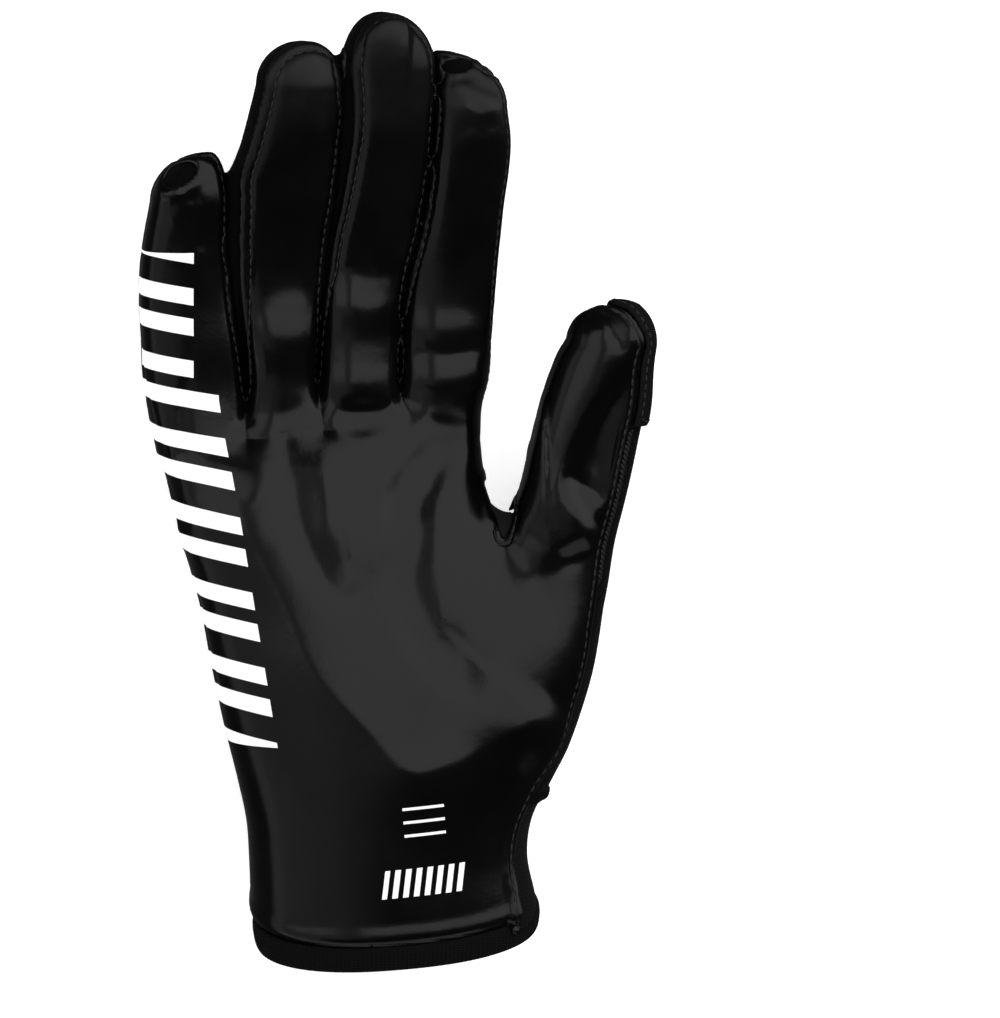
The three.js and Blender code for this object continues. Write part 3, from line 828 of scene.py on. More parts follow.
# Laid out as seen from above: a right-hand palm, thumb to the right, fingertips up
PALM_RELIEF = (
    Fold(((-44.0, 4.0), (-42.0, 0.4), (-35.5, -14.0), (-28.5, -27.0), (-20.5, -45.0), (-6.3, -60.0),
          (1.0, -68.6), (4.5, -70.0), (9.0, -69.4), (33.3, -57.9), (39.0, -51.0)),
         1.9, 15.0, 13.0, 0.9, 0.07),
    Fold(((-28.5, 24.0), (-27.2, 2.9), (-23.8, -10.9), (-19.5, -19.6), (-13.3, -26.4), (-8.3, -25.4),
          (-4.5, -22.0), (-2.3, -12.0)), -0.8, 6.0, 2.2, 1.2, 0.16),
    Fold(((-28.5, 13.0), (-27.2, 2.9), (-23.8, -10.9), (-19.5, -19.6), (-14.0, -26.0)),
         -1.0, 8.0, 4.0, 1.0, 0.35, True),
    Mound(-8.5, 18.5, 9.0, 6.5, -1.5),
    Fold(((-18.3, 17.0), (-17.5, -2.0), (-20.0, -17.0)), 0.3, 3.0, 3.0, 1.0, 0.35),
    Fold(((15.0, 17.5), (13.5, 15.5), (11.5, 13.0), (6.8, 6.6), (2.3, -1.1), (0.6, -13.4), (1.3, -22.0),
          (3.0, -28.4), (8.0, -38.4), (14.0, -44.0), (22.0, -50.0)), -1.8, 9.0, 6.0, 1.0, 0.22, True),
    Fold(((16.0, 19.0), (11.5, 13.0), (6.8, 6.6), (2.3, -1.1), (0.6, -12.0)),
         -1.7, 7.0, 6.0, 1.0, 0.3, True),
    Mound(24.0, -8.0, 20.0, 30.0, 1.6, 8.0),
    Mound(40.0, -6.0, 20.0, 42.0, -1.4, -10.0),
    Mound(6.5, -6.0, 5.5, 17.0, -0.5, -6.0),
    Mound(-36.5, -1.5, 11.0, 14.0, 0.8, 0.0),
    Fold(((-42.0, 4.0), (-38.5, -1.0), (-34.0, -1.9), (-29.6, 2.6)), -0.35, 1.2, 1.2, 0.4, 0.2),
    Mound(-7.0, 49.0, 5.0, 8.0, -0.45, 0.0),
    Mound(-19.0, 97.0, 8.0, 10.0, 0.9, 0.0),
    Fold(((-37.5, 57.5), (-30.0, 55.6), (-23.0, 56.6)), -0.5, 2.0, 2.6, 0.6, 0.15),
    Fold(((-19.5, 58.0), (-12.0, 56.0), (-5.0, 57.5)), -0.45, 2.0, 2.6, 0.6, 0.15),
    Fold(((3.5, 35.2), (12.0, 34.0), (21.5, 36.0)), -0.5, 1.8, 2.2, 0.5, 0.12),
    Fold(((3.5, 26.0), (12.0, 24.6), (21.5, 27.0)), -0.45, 1.8, 1.8, 0.5, 0.12),
    Fold(((58.0, 43.0), (57.2, 40.0), (52.3, 28.4), (44.5, 16.6), (40.0, 5.5), (40.5, -2.9), (44.5, -10.5),
          (47.8, -16.9)), 3.0, 5.0, 15.0, 0.8, 0.1, True),
    Fold(((41.3, 4.6), (46.0, 1.0), (52.3, -2.9)), -0.7, 1.6, 2.4, 0.5, 0.2),
    Mound(52.0, 8.0, 6.0, 12.0, -0.8, -18.0),
    Mound(46.0, -5.5, 6.0, 6.0, 0.7, 30.0),
    Fold(((51.0, 39.0), (55.5, 36.5), (56.5, 33.0)), -0.45, 1.3, 1.8, 0.5, 0.25),
    Fold(((32.0, -8.0), (38.0, -15.0), (46.0, -20.0)), -0.5, 3.0, 2.0, 0.7, 0.25),
    Fold(((15.0, 97.0), (20.0, 93.0), (25.5, 95.5)), 0.7, 1.4, 1.8, 0.5, 0.25),
    Fold(((17.0, 90.0), (21.5, 86.0), (25.0, 90.5)), 0.45, 1.4, 1.8, 0.5, 0.25),
    Fold(((14.0, 101.5), (20.0, 98.5), (26.5, 95.5)), -0.5, 1.2, 1.4, 0.4, 0.2),
    Fold(((-60.5, 75.3), (-56.5, 74.2), (-53.5, 76.5)), 0.8, 1.3, 1.8, 0.5, 0.25),
    Fold(((-51.5, 76.0), (-48.8, 69.0), (-48.4, 59.0)), -0.6, 1.2, 1.8, 0.5, 0.2),
    Fold(((-58.0, 72.0), (-53.5, 66.0), (-52.5, 56.0)), 0.5, 1.8, 1.8, 0.6, 0.25),
    Fold(((2.2, 112.5), (1.6, 104.0)), 0.5, 1.4, 1.4, 0.4, 0.3),
)


@dataclass(frozen=True)
class Patch:
    """An ellipse of the plan, at a fingertip, where fabric takes the leather's place."""

    x: float
    y: float
    across: float
    along: float
    turn: float

    def outside(self, points: ARRAY) -> ARRAY:
        """Rough distance outside the ellipse in plan, below zero within it."""
        angle = math.radians(self.turn)
        dx, dy = points[:, 0] - self.x, points[:, 1] - self.y
        across = (dx * math.cos(angle) + dy * math.sin(angle)) / self.across
        along = (dy * math.cos(angle) - dx * math.sin(angle)) / self.along
        return (np.hypot(across, along) - 1.0) * min(self.across, self.along)


@dataclass(frozen=True)
class Wedge:
    """A triangle of the plan in the crotch of the thumb."""

    corners: tuple[tuple[float, float], ...] = ((21.6, 2.0), (30.2, 2.0), (28.2, -6.5), (25.6, -12.0))

    def inside(self, points: ARRAY) -> ARRAY:
        """Distance inside the outline in plan, below zero outside it."""
        depth = np.full(len(points), 1e9)
        for start, end in zip(self.corners, self.corners[1:] + self.corners[:1]):
            du, dv = end[0] - start[0], end[1] - start[1]
            away = (dv * (points[:, 0] - start[0]) - du * (points[:, 1] - start[1])) / math.hypot(du, dv)
            depth = np.minimum(depth, away)
        return depth


class Border(Enum):
    """How the leather's edge is sewn on one stretch of its way round."""

    WIDE = 3.0
    NARROW = 1.7
    PLAIN = 0.0


@dataclass(eq=False)
class Edges:
    """How far each point of a panel is from the nearest edge, and from its sewing line."""

    distance: ARRAY
    by_border: dict[Border, ARRAY]

    def sewing(self) -> ARRAY:
        """Distance outside or inside the nearest sewing line."""
        best = np.full(len(self.distance), 9.0)
        for border, away in self.by_border.items():
            if border is not Border.PLAIN:
                offset = away - border.value
                best = np.where(np.abs(offset) < np.abs(best), offset, best)
        return best


def measure_edges(skin: Skin, kind: Callable[[ARRAY], Border | None], spacing: float = 0.3) -> Edges:
    """Measure a panel's points against its rim.

    Args:
        skin: The panel.
        kind: Tells how the rim is sewn at a place, or None where it is no edge of its own.
        spacing: Spacing of the places taken along the rim.

    Returns:
        The distances, to any edge and to each sort.
    """
    places: dict[Border, list[ARRAY]] = {border: [] for border in Border}
    for start, end in skin.rim():
        first, last = skin.points[start], skin.points[end]
        border = kind((first + last) / 2)
        if border is None:
            continue
        count = max(int(math.dist(first, last) / spacing), 1)
        for step in range(count):
            places[border].append(first + (last - first) * (step + 0.5) / count)
    by_border = {}
    for border, found in places.items():
        if not found:
            continue
        tree = KDTree(len(found))
        for index, place in enumerate(found):
            tree.insert(place, index)
        tree.balance()
        by_border[border] = np.array([tree.find(point)[2] for point in skin.points])
    nearest = np.min(np.stack(list(by_border.values())), axis=0)
    return Edges(nearest, by_border)


class Link:
    """A shader socket that takes part in sums as a number does."""

    def __init__(self, graph: "Graph", socket: bpy.types.NodeSocket) -> None:
        """Wrap a node's output socket."""
        self.graph = graph
        self.socket = socket

    def _maths(self, operation: str, first: "Link | float", second: "Link | float") -> "Link":
        """Add a Math node for an operation on two values."""
        return self.graph.node("ShaderNodeMath", {"operation": operation}, {0: first, 1: second})

    def __add__(self, other: "Link | float") -> "Link":
        """Return self + other."""
        return self._maths("ADD", self, other)

    __radd__ = __add__

    def __sub__(self, other: "Link | float") -> "Link":
        """Return self - other."""
        return self._maths("SUBTRACT", self, other)

    def __rsub__(self, other: "Link | float") -> "Link":
        """Return other - self."""
        return self._maths("SUBTRACT", other, self)

    def __mul__(self, other: "Link | float") -> "Link":
        """Return self * other."""
        return self._maths("MULTIPLY", self, other)

    __rmul__ = __mul__

    def __truediv__(self, other: "Link | float") -> "Link":
        """Return self / other."""
        return self._maths("DIVIDE", self, other)

    def sine(self) -> "Link":
        """The sine of this value."""
        return self._maths("SINE", self, 0.0)

    def size(self) -> "Link":
        """This value without its sign."""
        return self._maths("ABSOLUTE", self, 0.0)

    def share(self) -> "Link":
        """What is left of this value above the whole number below it."""
        return self._maths("FRACT", self, 0.0)

    def at_least(self, other: "Link | float") -> "Link":
        """The larger of this value and another."""
        return self._maths("MAXIMUM", self, other)

    def ramp(self, low: float, high: float) -> "Link":
        """Rise smoothly from 0 at low to 1 at high."""
        settings = {"interpolation_type": "SMOOTHSTEP"}
        inputs = {"Value": self, "From Min": low, "From Max": high}
        return self.graph.node("ShaderNodeMapRange", settings, inputs)


class Graph:
    """The nodes of one material, with a Principled shader at their end."""

    def __init__(self, name: str) -> None:
        """Make an empty material with its shader and output."""
        self.material = bpy.data.materials.new(name)
        self.material.use_nodes = True
        self.tree = self.material.node_tree
        self.shader = next(node for node in self.tree.nodes if node.type == "BSDF_PRINCIPLED")

    def plug(self, socket: bpy.types.NodeSocket, value: "Link | float | tuple") -> None:
        """Feed a socket from a link, or set it to a plain value."""
        if isinstance(value, Link):
            self.tree.links.new(value.socket, socket)
        else:
            socket.default_value = value

    def node(self, kind: str, settings: dict, inputs: dict, output: "int | str" = 0) -> Link:
        """Add one node.

        Args:
            kind: The node's type.
            settings: The node's own properties, set before its sockets.
            inputs: Values or links for its sockets, by name or number.
            output: Which output to return.

        Returns:
            The chosen output.
        """
        made = self.tree.nodes.new(kind)
        for name, value in settings.items():
            setattr(made, name, value)
        for name, value in inputs.items():
            self.plug(made.inputs[name], value)
        return Link(self, made.outputs[output])

    def place(self) -> Link:
        """The place on the object, in metres."""
        return self.node("ShaderNodeTexCoord", {}, {}, "Object")

    def axes(self) -> tuple[Link, Link, Link]:
        """The place on the glove across, along and up, in the hand's own millimetres."""
        split = self.tree.nodes.new("ShaderNodeSeparateXYZ")
        self.plug(split.inputs[0], self.place())
        across, along, up = (Link(self, output) for output in split.outputs)
        scale = 1.0 / MM
        return across * scale - float(HAND_SHIFT[0]), along * scale - float(HAND_SHIFT[1]), up * scale

    def attribute(self, name: str) -> Link:
        """A number painted on the mesh's points."""
        return self.node("ShaderNodeAttribute", {"attribute_name": name}, {}, "Fac")

    def noise(self, scale: float, detail: float = 3.0, roughness: float = 0.5) -> Link:
        """Soft noise over the object, in features of about 1 / scale metres."""
        inputs = {"Vector": self.place(), "Scale": scale, "Detail": detail, "Roughness": roughness}
        return self.node("ShaderNodeTexNoise", {}, inputs, "Fac")

    def mix(self, share: "Link | float", first: tuple, second: tuple) -> Link:
        """A colour between two others."""
        settings = {"data_type": "RGBA"}
        return self.node("ShaderNodeMix", settings, {0: share, 6: first, 7: second}, 2)

    def bump(self, height: Link) -> Link:
        """A surface normal from a height in millimetres."""
        return self.node("ShaderNodeBump", {}, {"Height": height, "Distance": MM, "Strength": 1.0})

    def dress(self, **values: "Link | float | tuple") -> bpy.types.Material:
        """Set the shader's sockets, with spaces for underlines in their names."""
        for name, value in values.items():
            self.plug(self.shader.inputs[name.replace("_", " ")], value)
        return self.material


def grey(level: float) -> tuple[float, float, float, float]:
    """A neutral colour."""
    return (level, level, level, 1.0)


@dataclass(frozen=True)
class Bars:
    """A group of slanted printed bars in a frame of its own, in the hand's millimetres."""

    x: float
    y: float
    half_length: float
    half_height: float
    pitch: float
    share: float
    slant: float
    turn: float

    def mask(self, across: Link, along: Link) -> Link:
        """One on a bar and zero off it, with crisp edges."""
        angle = math.radians(self.turn)
        dx, dy = across - self.x, along - self.y
        run = dx * math.cos(angle) + dy * math.sin(angle)
        rise = dy * math.cos(angle) - dx * math.sin(angle)
        wave = ((run - rise * self.slant) / self.pitch + 100.0).share()
        soft = 0.05
        bar = wave.ramp(0.0, soft) * (1.0 - wave.ramp(self.share, self.share + soft))
        ends = 1.0 - (run - rise * self.slant).size().ramp(self.half_length, self.half_length + 0.08)
        sides = 1.0 - rise.size().ramp(self.half_height, self.half_height + 0.08)
        return bar * ends * sides


@dataclass(frozen=True)
class SideBand:
    """The printed bars that run down the little-finger side, in pairs."""

    top: float = 61.0
    bottom: float = -62.0
    pair_pitch: float = 18.2
    bar: float = 0.235
    second: float = 0.42
    slant: float = 0.18
    border: float = 2.2

    def mask(self, graph: "Graph", across: Link, along: Link) -> Link:
        """One on a bar and zero off it, with crisp edges."""
        below = 1.0 - along.ramp(26.0, 27.5)
        inner = across - below * 6.3 - (24.0 - along).at_least(0.0) * 0.152 + 51.3
        wave = ((self.top - along - across * self.slant) / self.pair_pitch + 100.0).share()
        soft = 0.006
        first = wave.ramp(0.0, soft) * (1.0 - wave.ramp(self.bar, self.bar + soft))
        start, end = self.second, self.second + self.bar
        other = wave.ramp(start, start + soft) * (1.0 - wave.ramp(end, end + soft))
        ends = along.ramp(self.bottom, self.bottom + 0.1) * (1.0 - along.ramp(self.top, self.top + 0.1))
        sides = 1.0 - inner.ramp(0.0, 0.1)
        clear = graph.attribute("edge_distance").ramp(self.border, self.border + 0.1)
        return (first + other) * ends * sides * clear


@dataclass(frozen=True)
class CoatedLeather:
    """Black synthetic leather with a smooth tacky coat, and its plain white printed bars."""

    dark: float = 0.0008
    light: float = 0.0016
    worn: float = 0.004
    ink: float = 0.90
    roughness: float = 0.15
    wrist_bars: Bars = Bars(4.5, -95.3, 10.6, 3.5, 2.72, 0.52, 0.2, 4.6)
    wrist_lines: Bars = Bars(4.1, -80.4, 4.9, 5.2, 3.4, 0.2, 0.0, 94.6)

    def build(self) -> bpy.types.Material:
        """Make the material."""
        graph = Graph("coated_leather")
        across, along, up = graph.axes()
        cloud = graph.noise(48.0, 3.0)
        grain = graph.noise(2400.0, 2.0)
        creep = graph.noise(230.0, 3.0, 0.55)
        edge = graph.attribute("edge_distance")
        sewing = graph.attribute("sewing_distance").size()
        colour = graph.mix(cloud.ramp(0.35, 0.7), grey(self.dark), grey(self.light))
        rubbed = (1.0 - edge.ramp(0.0, 0.9)) * (0.35 + cloud * 0.8)
        colour = graph.mix(rubbed * 0.7, colour, grey(self.worn))
        printed = SideBand().mask(graph, across, along)
        printed = printed.at_least(self.wrist_bars.mask(across, along) * up.ramp(30.0, 31.0))
        printed = printed.at_least(self.wrist_lines.mask(across, along) * up.ramp(30.0, 31.0))
        colour = graph.mix(printed * (0.985 - cloud.ramp(0.6, 0.9) * 0.04), colour, grey(self.ink))
        groove = 1.0 - sewing.ramp(0.0, 0.55)
        tips = along.ramp(86.0, 100.0) * (0.6 + creep * 0.8)
        rough = self.roughness + cloud * 0.06 + grain * 0.04 + printed * 0.25 + groove * 0.15 + tips * 0.2
        height = creep * 0.055 + grain * 0.012 - groove * 0.16 + printed * 0.02
        normal = graph.bump(height)
        return graph.dress(Base_Color=colour, Roughness=rough, Normal=normal, IOR=1.24)


@dataclass(frozen=True)
class RibKnit:
    """Black stretch knit in fine wales along the hand, with its small loops."""

    dark: float = 0.0004
    light: float = 0.0016
    wale: float = 0.9
    course: float = 0.72

    def build(self) -> bpy.types.Material:
        """Make the material."""
        graph = Graph("rib_knit")
        across, along, up = graph.axes()
        drift = graph.noise(160.0, 2.0) * 0.9
        wales = ((across * 0.8 + up * 0.75 + drift) * (math.pi / self.wale)).sine().size()
        courses = ((along + wales * 0.3 + drift) * (math.pi / self.course)).sine().size()
        loops = wales * 0.55 + courses * 0.45
        fluff = graph.noise(2600.0, 3.0, 0.6)
        colour = graph.mix(loops * fluff * 1.6, grey(self.dark), grey(self.light))
        normal = graph.bump(loops * 0.16 + fluff * 0.06)
        return graph.dress(
            Base_Color=colour, Roughness=0.8 + fluff * 0.15, Normal=normal, IOR=1.12,
            Sheen_Weight=0.008, Sheen_Roughness=0.4
        )


@dataclass(frozen=True)
class StretchCloth:
    """Smooth black stretch cloth, a shade glossier than the knit."""

    dark: float = 0.002
    light: float = 0.005

    def build(self) -> bpy.types.Material:
        """Make the material."""
        graph = Graph("stretch_cloth")
        across, along, _ = graph.axes()
        threads = ((across + along) * (math.pi / 0.42)).sine().size() * 0.5
        threads = threads + ((across - along) * (math.pi / 0.42)).sine().size() * 0.5
        fluff = graph.noise(3000.0, 2.0)
        colour = graph.mix(threads * fluff * 1.5, grey(self.dark), grey(self.light))
        normal = graph.bump(threads * 0.06 + fluff * 0.03)
        return graph.dress(Base_Color=colour, Roughness=0.62 + fluff * 0.2, Normal=normal, IOR=1.3)


@dataclass(frozen=True)
class GuardCloth:
    """Close-woven black cloth that takes rubbing, slightly satin."""

    dark: float = 0.0008
    light: float = 0.003
    thread: float = 0.5

    def build(self) -> bpy.types.Material:
        """Make the material."""
        graph = Graph("guard_cloth")
        across, along, up = graph.axes()
        warp = ((up + across * 0.3) * (math.pi / self.thread)).sine().size()
        weft = ((along + across * 0.2) * (math.pi / self.thread)).sine().size()
        fluff = graph.noise(2800.0, 2.0)
        colour = graph.mix(warp * weft * 0.8 + fluff * 0.25, grey(self.dark), grey(self.light))
        normal = graph.bump(warp * 0.07 + weft * 0.07 + fluff * 0.03)
        return graph.dress(Base_Color=colour, Roughness=0.55 + fluff * 0.2, Normal=normal, IOR=1.16)


@dataclass(frozen=True)
class SewingThread:
    """Black bonded thread, slightly lustrous, with its twist."""

    name: str = "sewing_thread"
    dark: float = 0.004
    light: float = 0.014

    def build(self) -> bpy.types.Material:
        """Make the material."""
        graph = Graph(self.name)
        across, along, up = graph.axes()
        twist = ((across + along + up) * (math.pi / 0.28)).sine().size()
        fluff = graph.noise(4000.0, 2.0)
        colour = graph.mix(twist * 0.7 + fluff * 0.3, grey(self.dark), grey(self.light))
        normal = graph.bump(twist * 0.04 + fluff * 0.02)
        return graph.dress(Base_Color=colour, Roughness=0.42 + fluff * 0.2, Normal=normal, IOR=1.3)


class Way(Enum):
    """Which way an elastic's fine cords run."""

    ROUND = "round the wrist"
    ALONG = "across the strip"


@dataclass(frozen=True)
class RibbedElastic:
    """Black elastic tape, woven over fine rubber cords."""

    way: Way
    dark: float = 0.0004
    light: float = 0.002
    cord: float = 1.05

    def build(self) -> bpy.types.Material:
        """Make the material."""
        graph = Graph("ribbed_elastic_" + self.way.name.lower())
        across, along, up = graph.axes()
        fluff = graph.noise(2400.0, 3.0, 0.6)
        if self.way is Way.ALONG:
            cords = (along * (math.pi / self.cord)).sine().size()
            threads = ((up + across * 0.4) * (math.pi / 0.5)).sine().size()
        else:
            cords = ((along * 0.95 - up * 0.3) * (math.pi / 0.62)).sine().size()
            threads = ((up + across) * (math.pi / 0.4)).sine().size()
        colour = graph.mix(cords * 0.55 + threads * 0.15 + fluff * 0.3, grey(self.dark), grey(self.light))
        normal = graph.bump(cords * 0.16 + threads * 0.04 + fluff * 0.05)
        return graph.dress(
            Base_Color=colour, Roughness=0.72 + fluff * 0.2, Normal=normal, IOR=1.16,
            Sheen_Weight=0.01, Sheen_Roughness=0.4
        )


def stitch(start: ARRAY, end: ARRAY, normal: ARRAY, radius: float = 0.24) -> Skin:
    """One stitch of thread between two needle holes, arched over the surface."""
    share = np.linspace(-0.5, 0.5, 6)
    middle, along = (start + end) / 2, (end - start) * 0.73
    arch = 0.2 * (1.0 - (2.0 * share) ** 4) - radius * 0.7
    path = middle + share[:, None] * along + arch[:, None] * normal
    radii = radius * (1.0 - 0.45 * (2.0 * np.abs(share)) ** 3)
    return tube(path, radii, 6, np.repeat(normal[None, :], len(path), axis=0))


@dataclass(eq=False)
class PalmLeather:
    """The coated leather of the palm side, with its lapped and sewn borders."""

    form: HandForm
    relief: Relief
    pitch: float = 0.92
    low: PLACE = (-69.0, -118.0, 3.0)
    high: PLACE = (70.0, 128.0, 50.0)
    thickness: float = 0.9
    lap: float = 0.35
    under_binding: float = 1.9
    wedge: Wedge = Wedge()
    patches: tuple[Patch, ...] = (
        Patch(-54.6, 80.6, 4.6, 2.4, 32.0),
        Patch(14.2, 107.2, 4.0, 1.8, 8.0),
    )
    skin: Skin = field(init=False)
    edges: Edges = field(init=False)
    normals: ARRAY = field(init=False)

    def surface(self, points: ARRAY) -> ARRAY:
        """Signed distance from the palm side with all its creases."""
        above = self.form.above_seam(points)
        hung = points.copy()
        hung[:, 2] += sum(sag.drop(points) for sag in SAGS) * smoothstep(0.0, 5.0, above)
        return self.form.laid(hung) - self.relief.lift(points) * smoothstep(-1.5, 3.0, above)

    def border(self, place: ARRAY) -> Border | None:
        """How the edge is sewn at a place on the rim."""
        x, y = float(place[0]), float(place[1])
        if self.form.above_hem(place[None, :])[0] < 0.4 - self.under_binding:
            return None
        if any(abs(patch.outside(place[None, :])[0]) < 0.4 for patch in self.patches):
            return Border.PLAIN
        little, index, thumb = LITTLE.at("x", y), INDEX.at("x", y), THUMB.at("x", y)
        if y < 8.0:
            return Border.NARROW if x > 25.0 else Border.PLAIN
        if x < little - 2.0:
            return Border.PLAIN
        if x > 32.0:
            return Border.PLAIN if x < thumb else Border.NARROW
        return Border.NARROW if x > index + 4.0 else Border.WIDE

    def lapped(self) -> ARRAY:
        """How far each point stands proud, from its distance to the edge."""
        away, sewing = self.edges.distance, self.edges.sewing()
        flat = self.lap * (1.0 - smoothstep(1.8, 3.4, away))
        rolled = 0.22 * (1.0 - smoothstep(0.0, 0.7, away))
        puffed = 0.16 * smoothstep(0.3, 1.6, sewing) * (1.0 - smoothstep(2.0, 6.5, sewing))
        hem = self.form.above_hem(self.skin.points)
        tucked = 1.15 * (1.0 - smoothstep(-0.6, 1.5, hem)) - 0.4 * smoothstep(0.6, 2.0, hem) * (
            1.0 - smoothstep(2.6, 6.0, hem)
        )
        sunk = 0.26 * np.exp(-((sewing / 0.5) ** 2))
        return flat - rolled + puffed - tucked - sunk

    def build(self) -> bpy.types.Object:
        """Cut the panel from the hand's surface, lap its edges and thicken it."""
        skin = extract(self.surface, self.low, self.high, self.pitch)
        skin = clip(skin, self.form.above_seam(skin.points))
        skin = clip(skin, self.form.above_hem(skin.points) + self.under_binding)
        skin = clip(skin, -self.wedge.inside(skin.points))
        for patch in self.patches:
            skin = clip(skin, patch.outside(skin.points))
        self.skin = skin
        self.edges = measure_edges(skin, self.border)
        self.skin = Skin(skin.points + skin.normals() * self.lapped()[:, None], skin.faces)
        self.normals = self.skin.normals()
        whole, source = thicken(self.skin, self.thickness)
        thing = build_object("palm_leather_panel", whole, CoatedLeather().build())
        paint(thing, "edge_distance", self.edges.distance[source])
        paint(thing, "sewing_distance", self.edges.sewing()[source])
        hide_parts("palm_leather")
        return thing


@dataclass(eq=False)
class BorderStitching:
    """Lockstitches along the leather's borders, each pulled down at both ends."""

    leather: PalmLeather
    pitch: float = 2.6
    shortest_run: float = 6.0

    def lines(self) -> list[ARRAY]:
        """The sewing lines, over the leather."""
        found = []
        for border, away in self.leather.edges.by_border.items():
            if border is Border.PLAIN:
                continue
            for line in contour(self.leather.skin, away, border.value):
                if run_length(line)[-1] > self.shortest_run:
                    found.append(smooth_line(line, 3))
        return found

    def build(self) -> bpy.types.Object:
        """Sew all the borders."""
        tree = KDTree(len(self.leather.skin.points))
        for index, point in enumerate(self.leather.skin.points):
            tree.insert(point, index)
        tree.balance()
        stitches = []
        for line in self.lines():
            holes = resample(line, self.pitch)
            for start, end in zip(holes[:-1], holes[1:]):
                _, index, _ = tree.find((start + end) / 2)
                stitches.append(stitch(start, end, self.leather.normals[index]))
        LOG.info("border stitches: %d", len(stitches))
        thing = build_object("border_stitching", gather(stitches), SewingThread().build())
        return thing


# How far the knit and the elastic run on under the hem's binding, in mm
HEM_UNDERLAP = 1.6


@dataclass(eq=False)
class HandBack:
    """The stretch knit of the back, which runs on a little way under the leather."""

    form: HandForm
    pitch: float = 1.25
    low: PLACE = (-69.0, -118.0, -3.0)
    high: PLACE = (70.0, 128.0, 46.0)
    thickness: float = 0.9
    inset: float = 0.45
    tucked: float = 0.65
    touch: float = 5.0
    underlap: float = 2.4
    strip_start: float = -77.5
    strip_inner: float = 22.0
    strip_low: float = 14.0

    def surface(self, points: ARRAY) -> ARRAY:
        """Signed distance from the knit, lower where the leather covers it."""
        above = self.form.above_seam(points)
        inset = self.inset + self.tucked * smoothstep(-0.6, 1.2, above)
        return self.form.laid(points, self.touch) + inset * smoothstep(0.5, 4.0, points[:, 2])

    def in_strip(self, points: ARRAY) -> ARRAY:
        """Distance inside the elastic strip's place in the wrist."""
        depth = np.minimum(points[:, 0] - self.strip_inner, points[:, 2] - self.strip_low)
        return np.minimum(depth, self.strip_start - points[:, 1])

    def build(self) -> bpy.types.Object:
        """Cut the knit from the hand's surface and thicken it."""
        skin = extract(self.surface, self.low, self.high, self.pitch)
        skin = clip(skin, self.underlap - self.form.above_seam(skin.points))
        skin = clip(skin, self.form.above_hem(skin.points) + HEM_UNDERLAP)
        skin = clip(skin, -self.in_strip(skin.points))
        whole, _ = thicken(skin, self.thickness)
        thing = build_object("back_knit", whole, RibKnit().build())
        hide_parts("hand_back")
        return thing


@dataclass(eq=False)
class FingertipPatches:
    """The knit that closes the puckered ends of the index and little fingers."""

    form: HandForm
    leather: PalmLeather
    pitch: float = 0.8
    thickness: float = 0.6
    inset: float = 0.45
    margin: float = 0.9
    seam_underlap: float = 0.4
    room: float = 4.0
    lowest: float = 8.0
    highest: float = 40.0

    def build(self) -> bpy.types.Object:
        """Cut both patches a little larger than their openings."""
        parts = []
        for patch in self.leather.patches:
            reach = max(patch.across, patch.along) + self.room
            low = (patch.x - reach, patch.y - reach, self.lowest)
            high = (patch.x + reach, patch.y + reach, self.highest)
            skin = extract(lambda places: self.form.distance(places) + self.inset, low, high, self.pitch)
            skin = clip(skin, self.margin - patch.outside(skin.points))
            skin = clip(skin, self.form.above_seam(skin.points) + self.seam_underlap)
            parts.append(thicken(skin, self.thickness)[0])
        thing = build_object("fingertip_knit", gather(parts), RibKnit().build())
        return thing


@dataclass(eq=False)
class ThumbGusset:
    """The small fabric wedge let into the crotch of the thumb."""

    form: HandForm
    wedge: Wedge = Wedge()
    pitch: float = 0.7
    thickness: float = 0.7
    inset: float = 0.25
    underlap: float = 0.4
    seam_underlap: float = 3.0
    low: PLACE = (15.0, -18.0, 8.0)
    high: PLACE = (38.0, 8.0, 42.0)

    def surface(self, points: ARRAY) -> ARRAY:
        """Signed distance from the wedge's outer face."""
        return self.form.distance(points) + self.inset

    def build(self) -> bpy.types.Object:
        """Cut the wedge from the hand's surface."""
        skin = extract(self.surface, self.low, self.high, self.pitch)
        skin = clip(skin, self.wedge.inside(skin.points) + self.underlap)
        skin = clip(skin, self.form.above_seam(skin.points) + self.seam_underlap)
        whole, _ = thicken(skin, self.thickness)
        thing = build_object("thumb_crotch_wedge", whole, StretchCloth().build())
        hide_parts("thumb_gusset")
        return thing


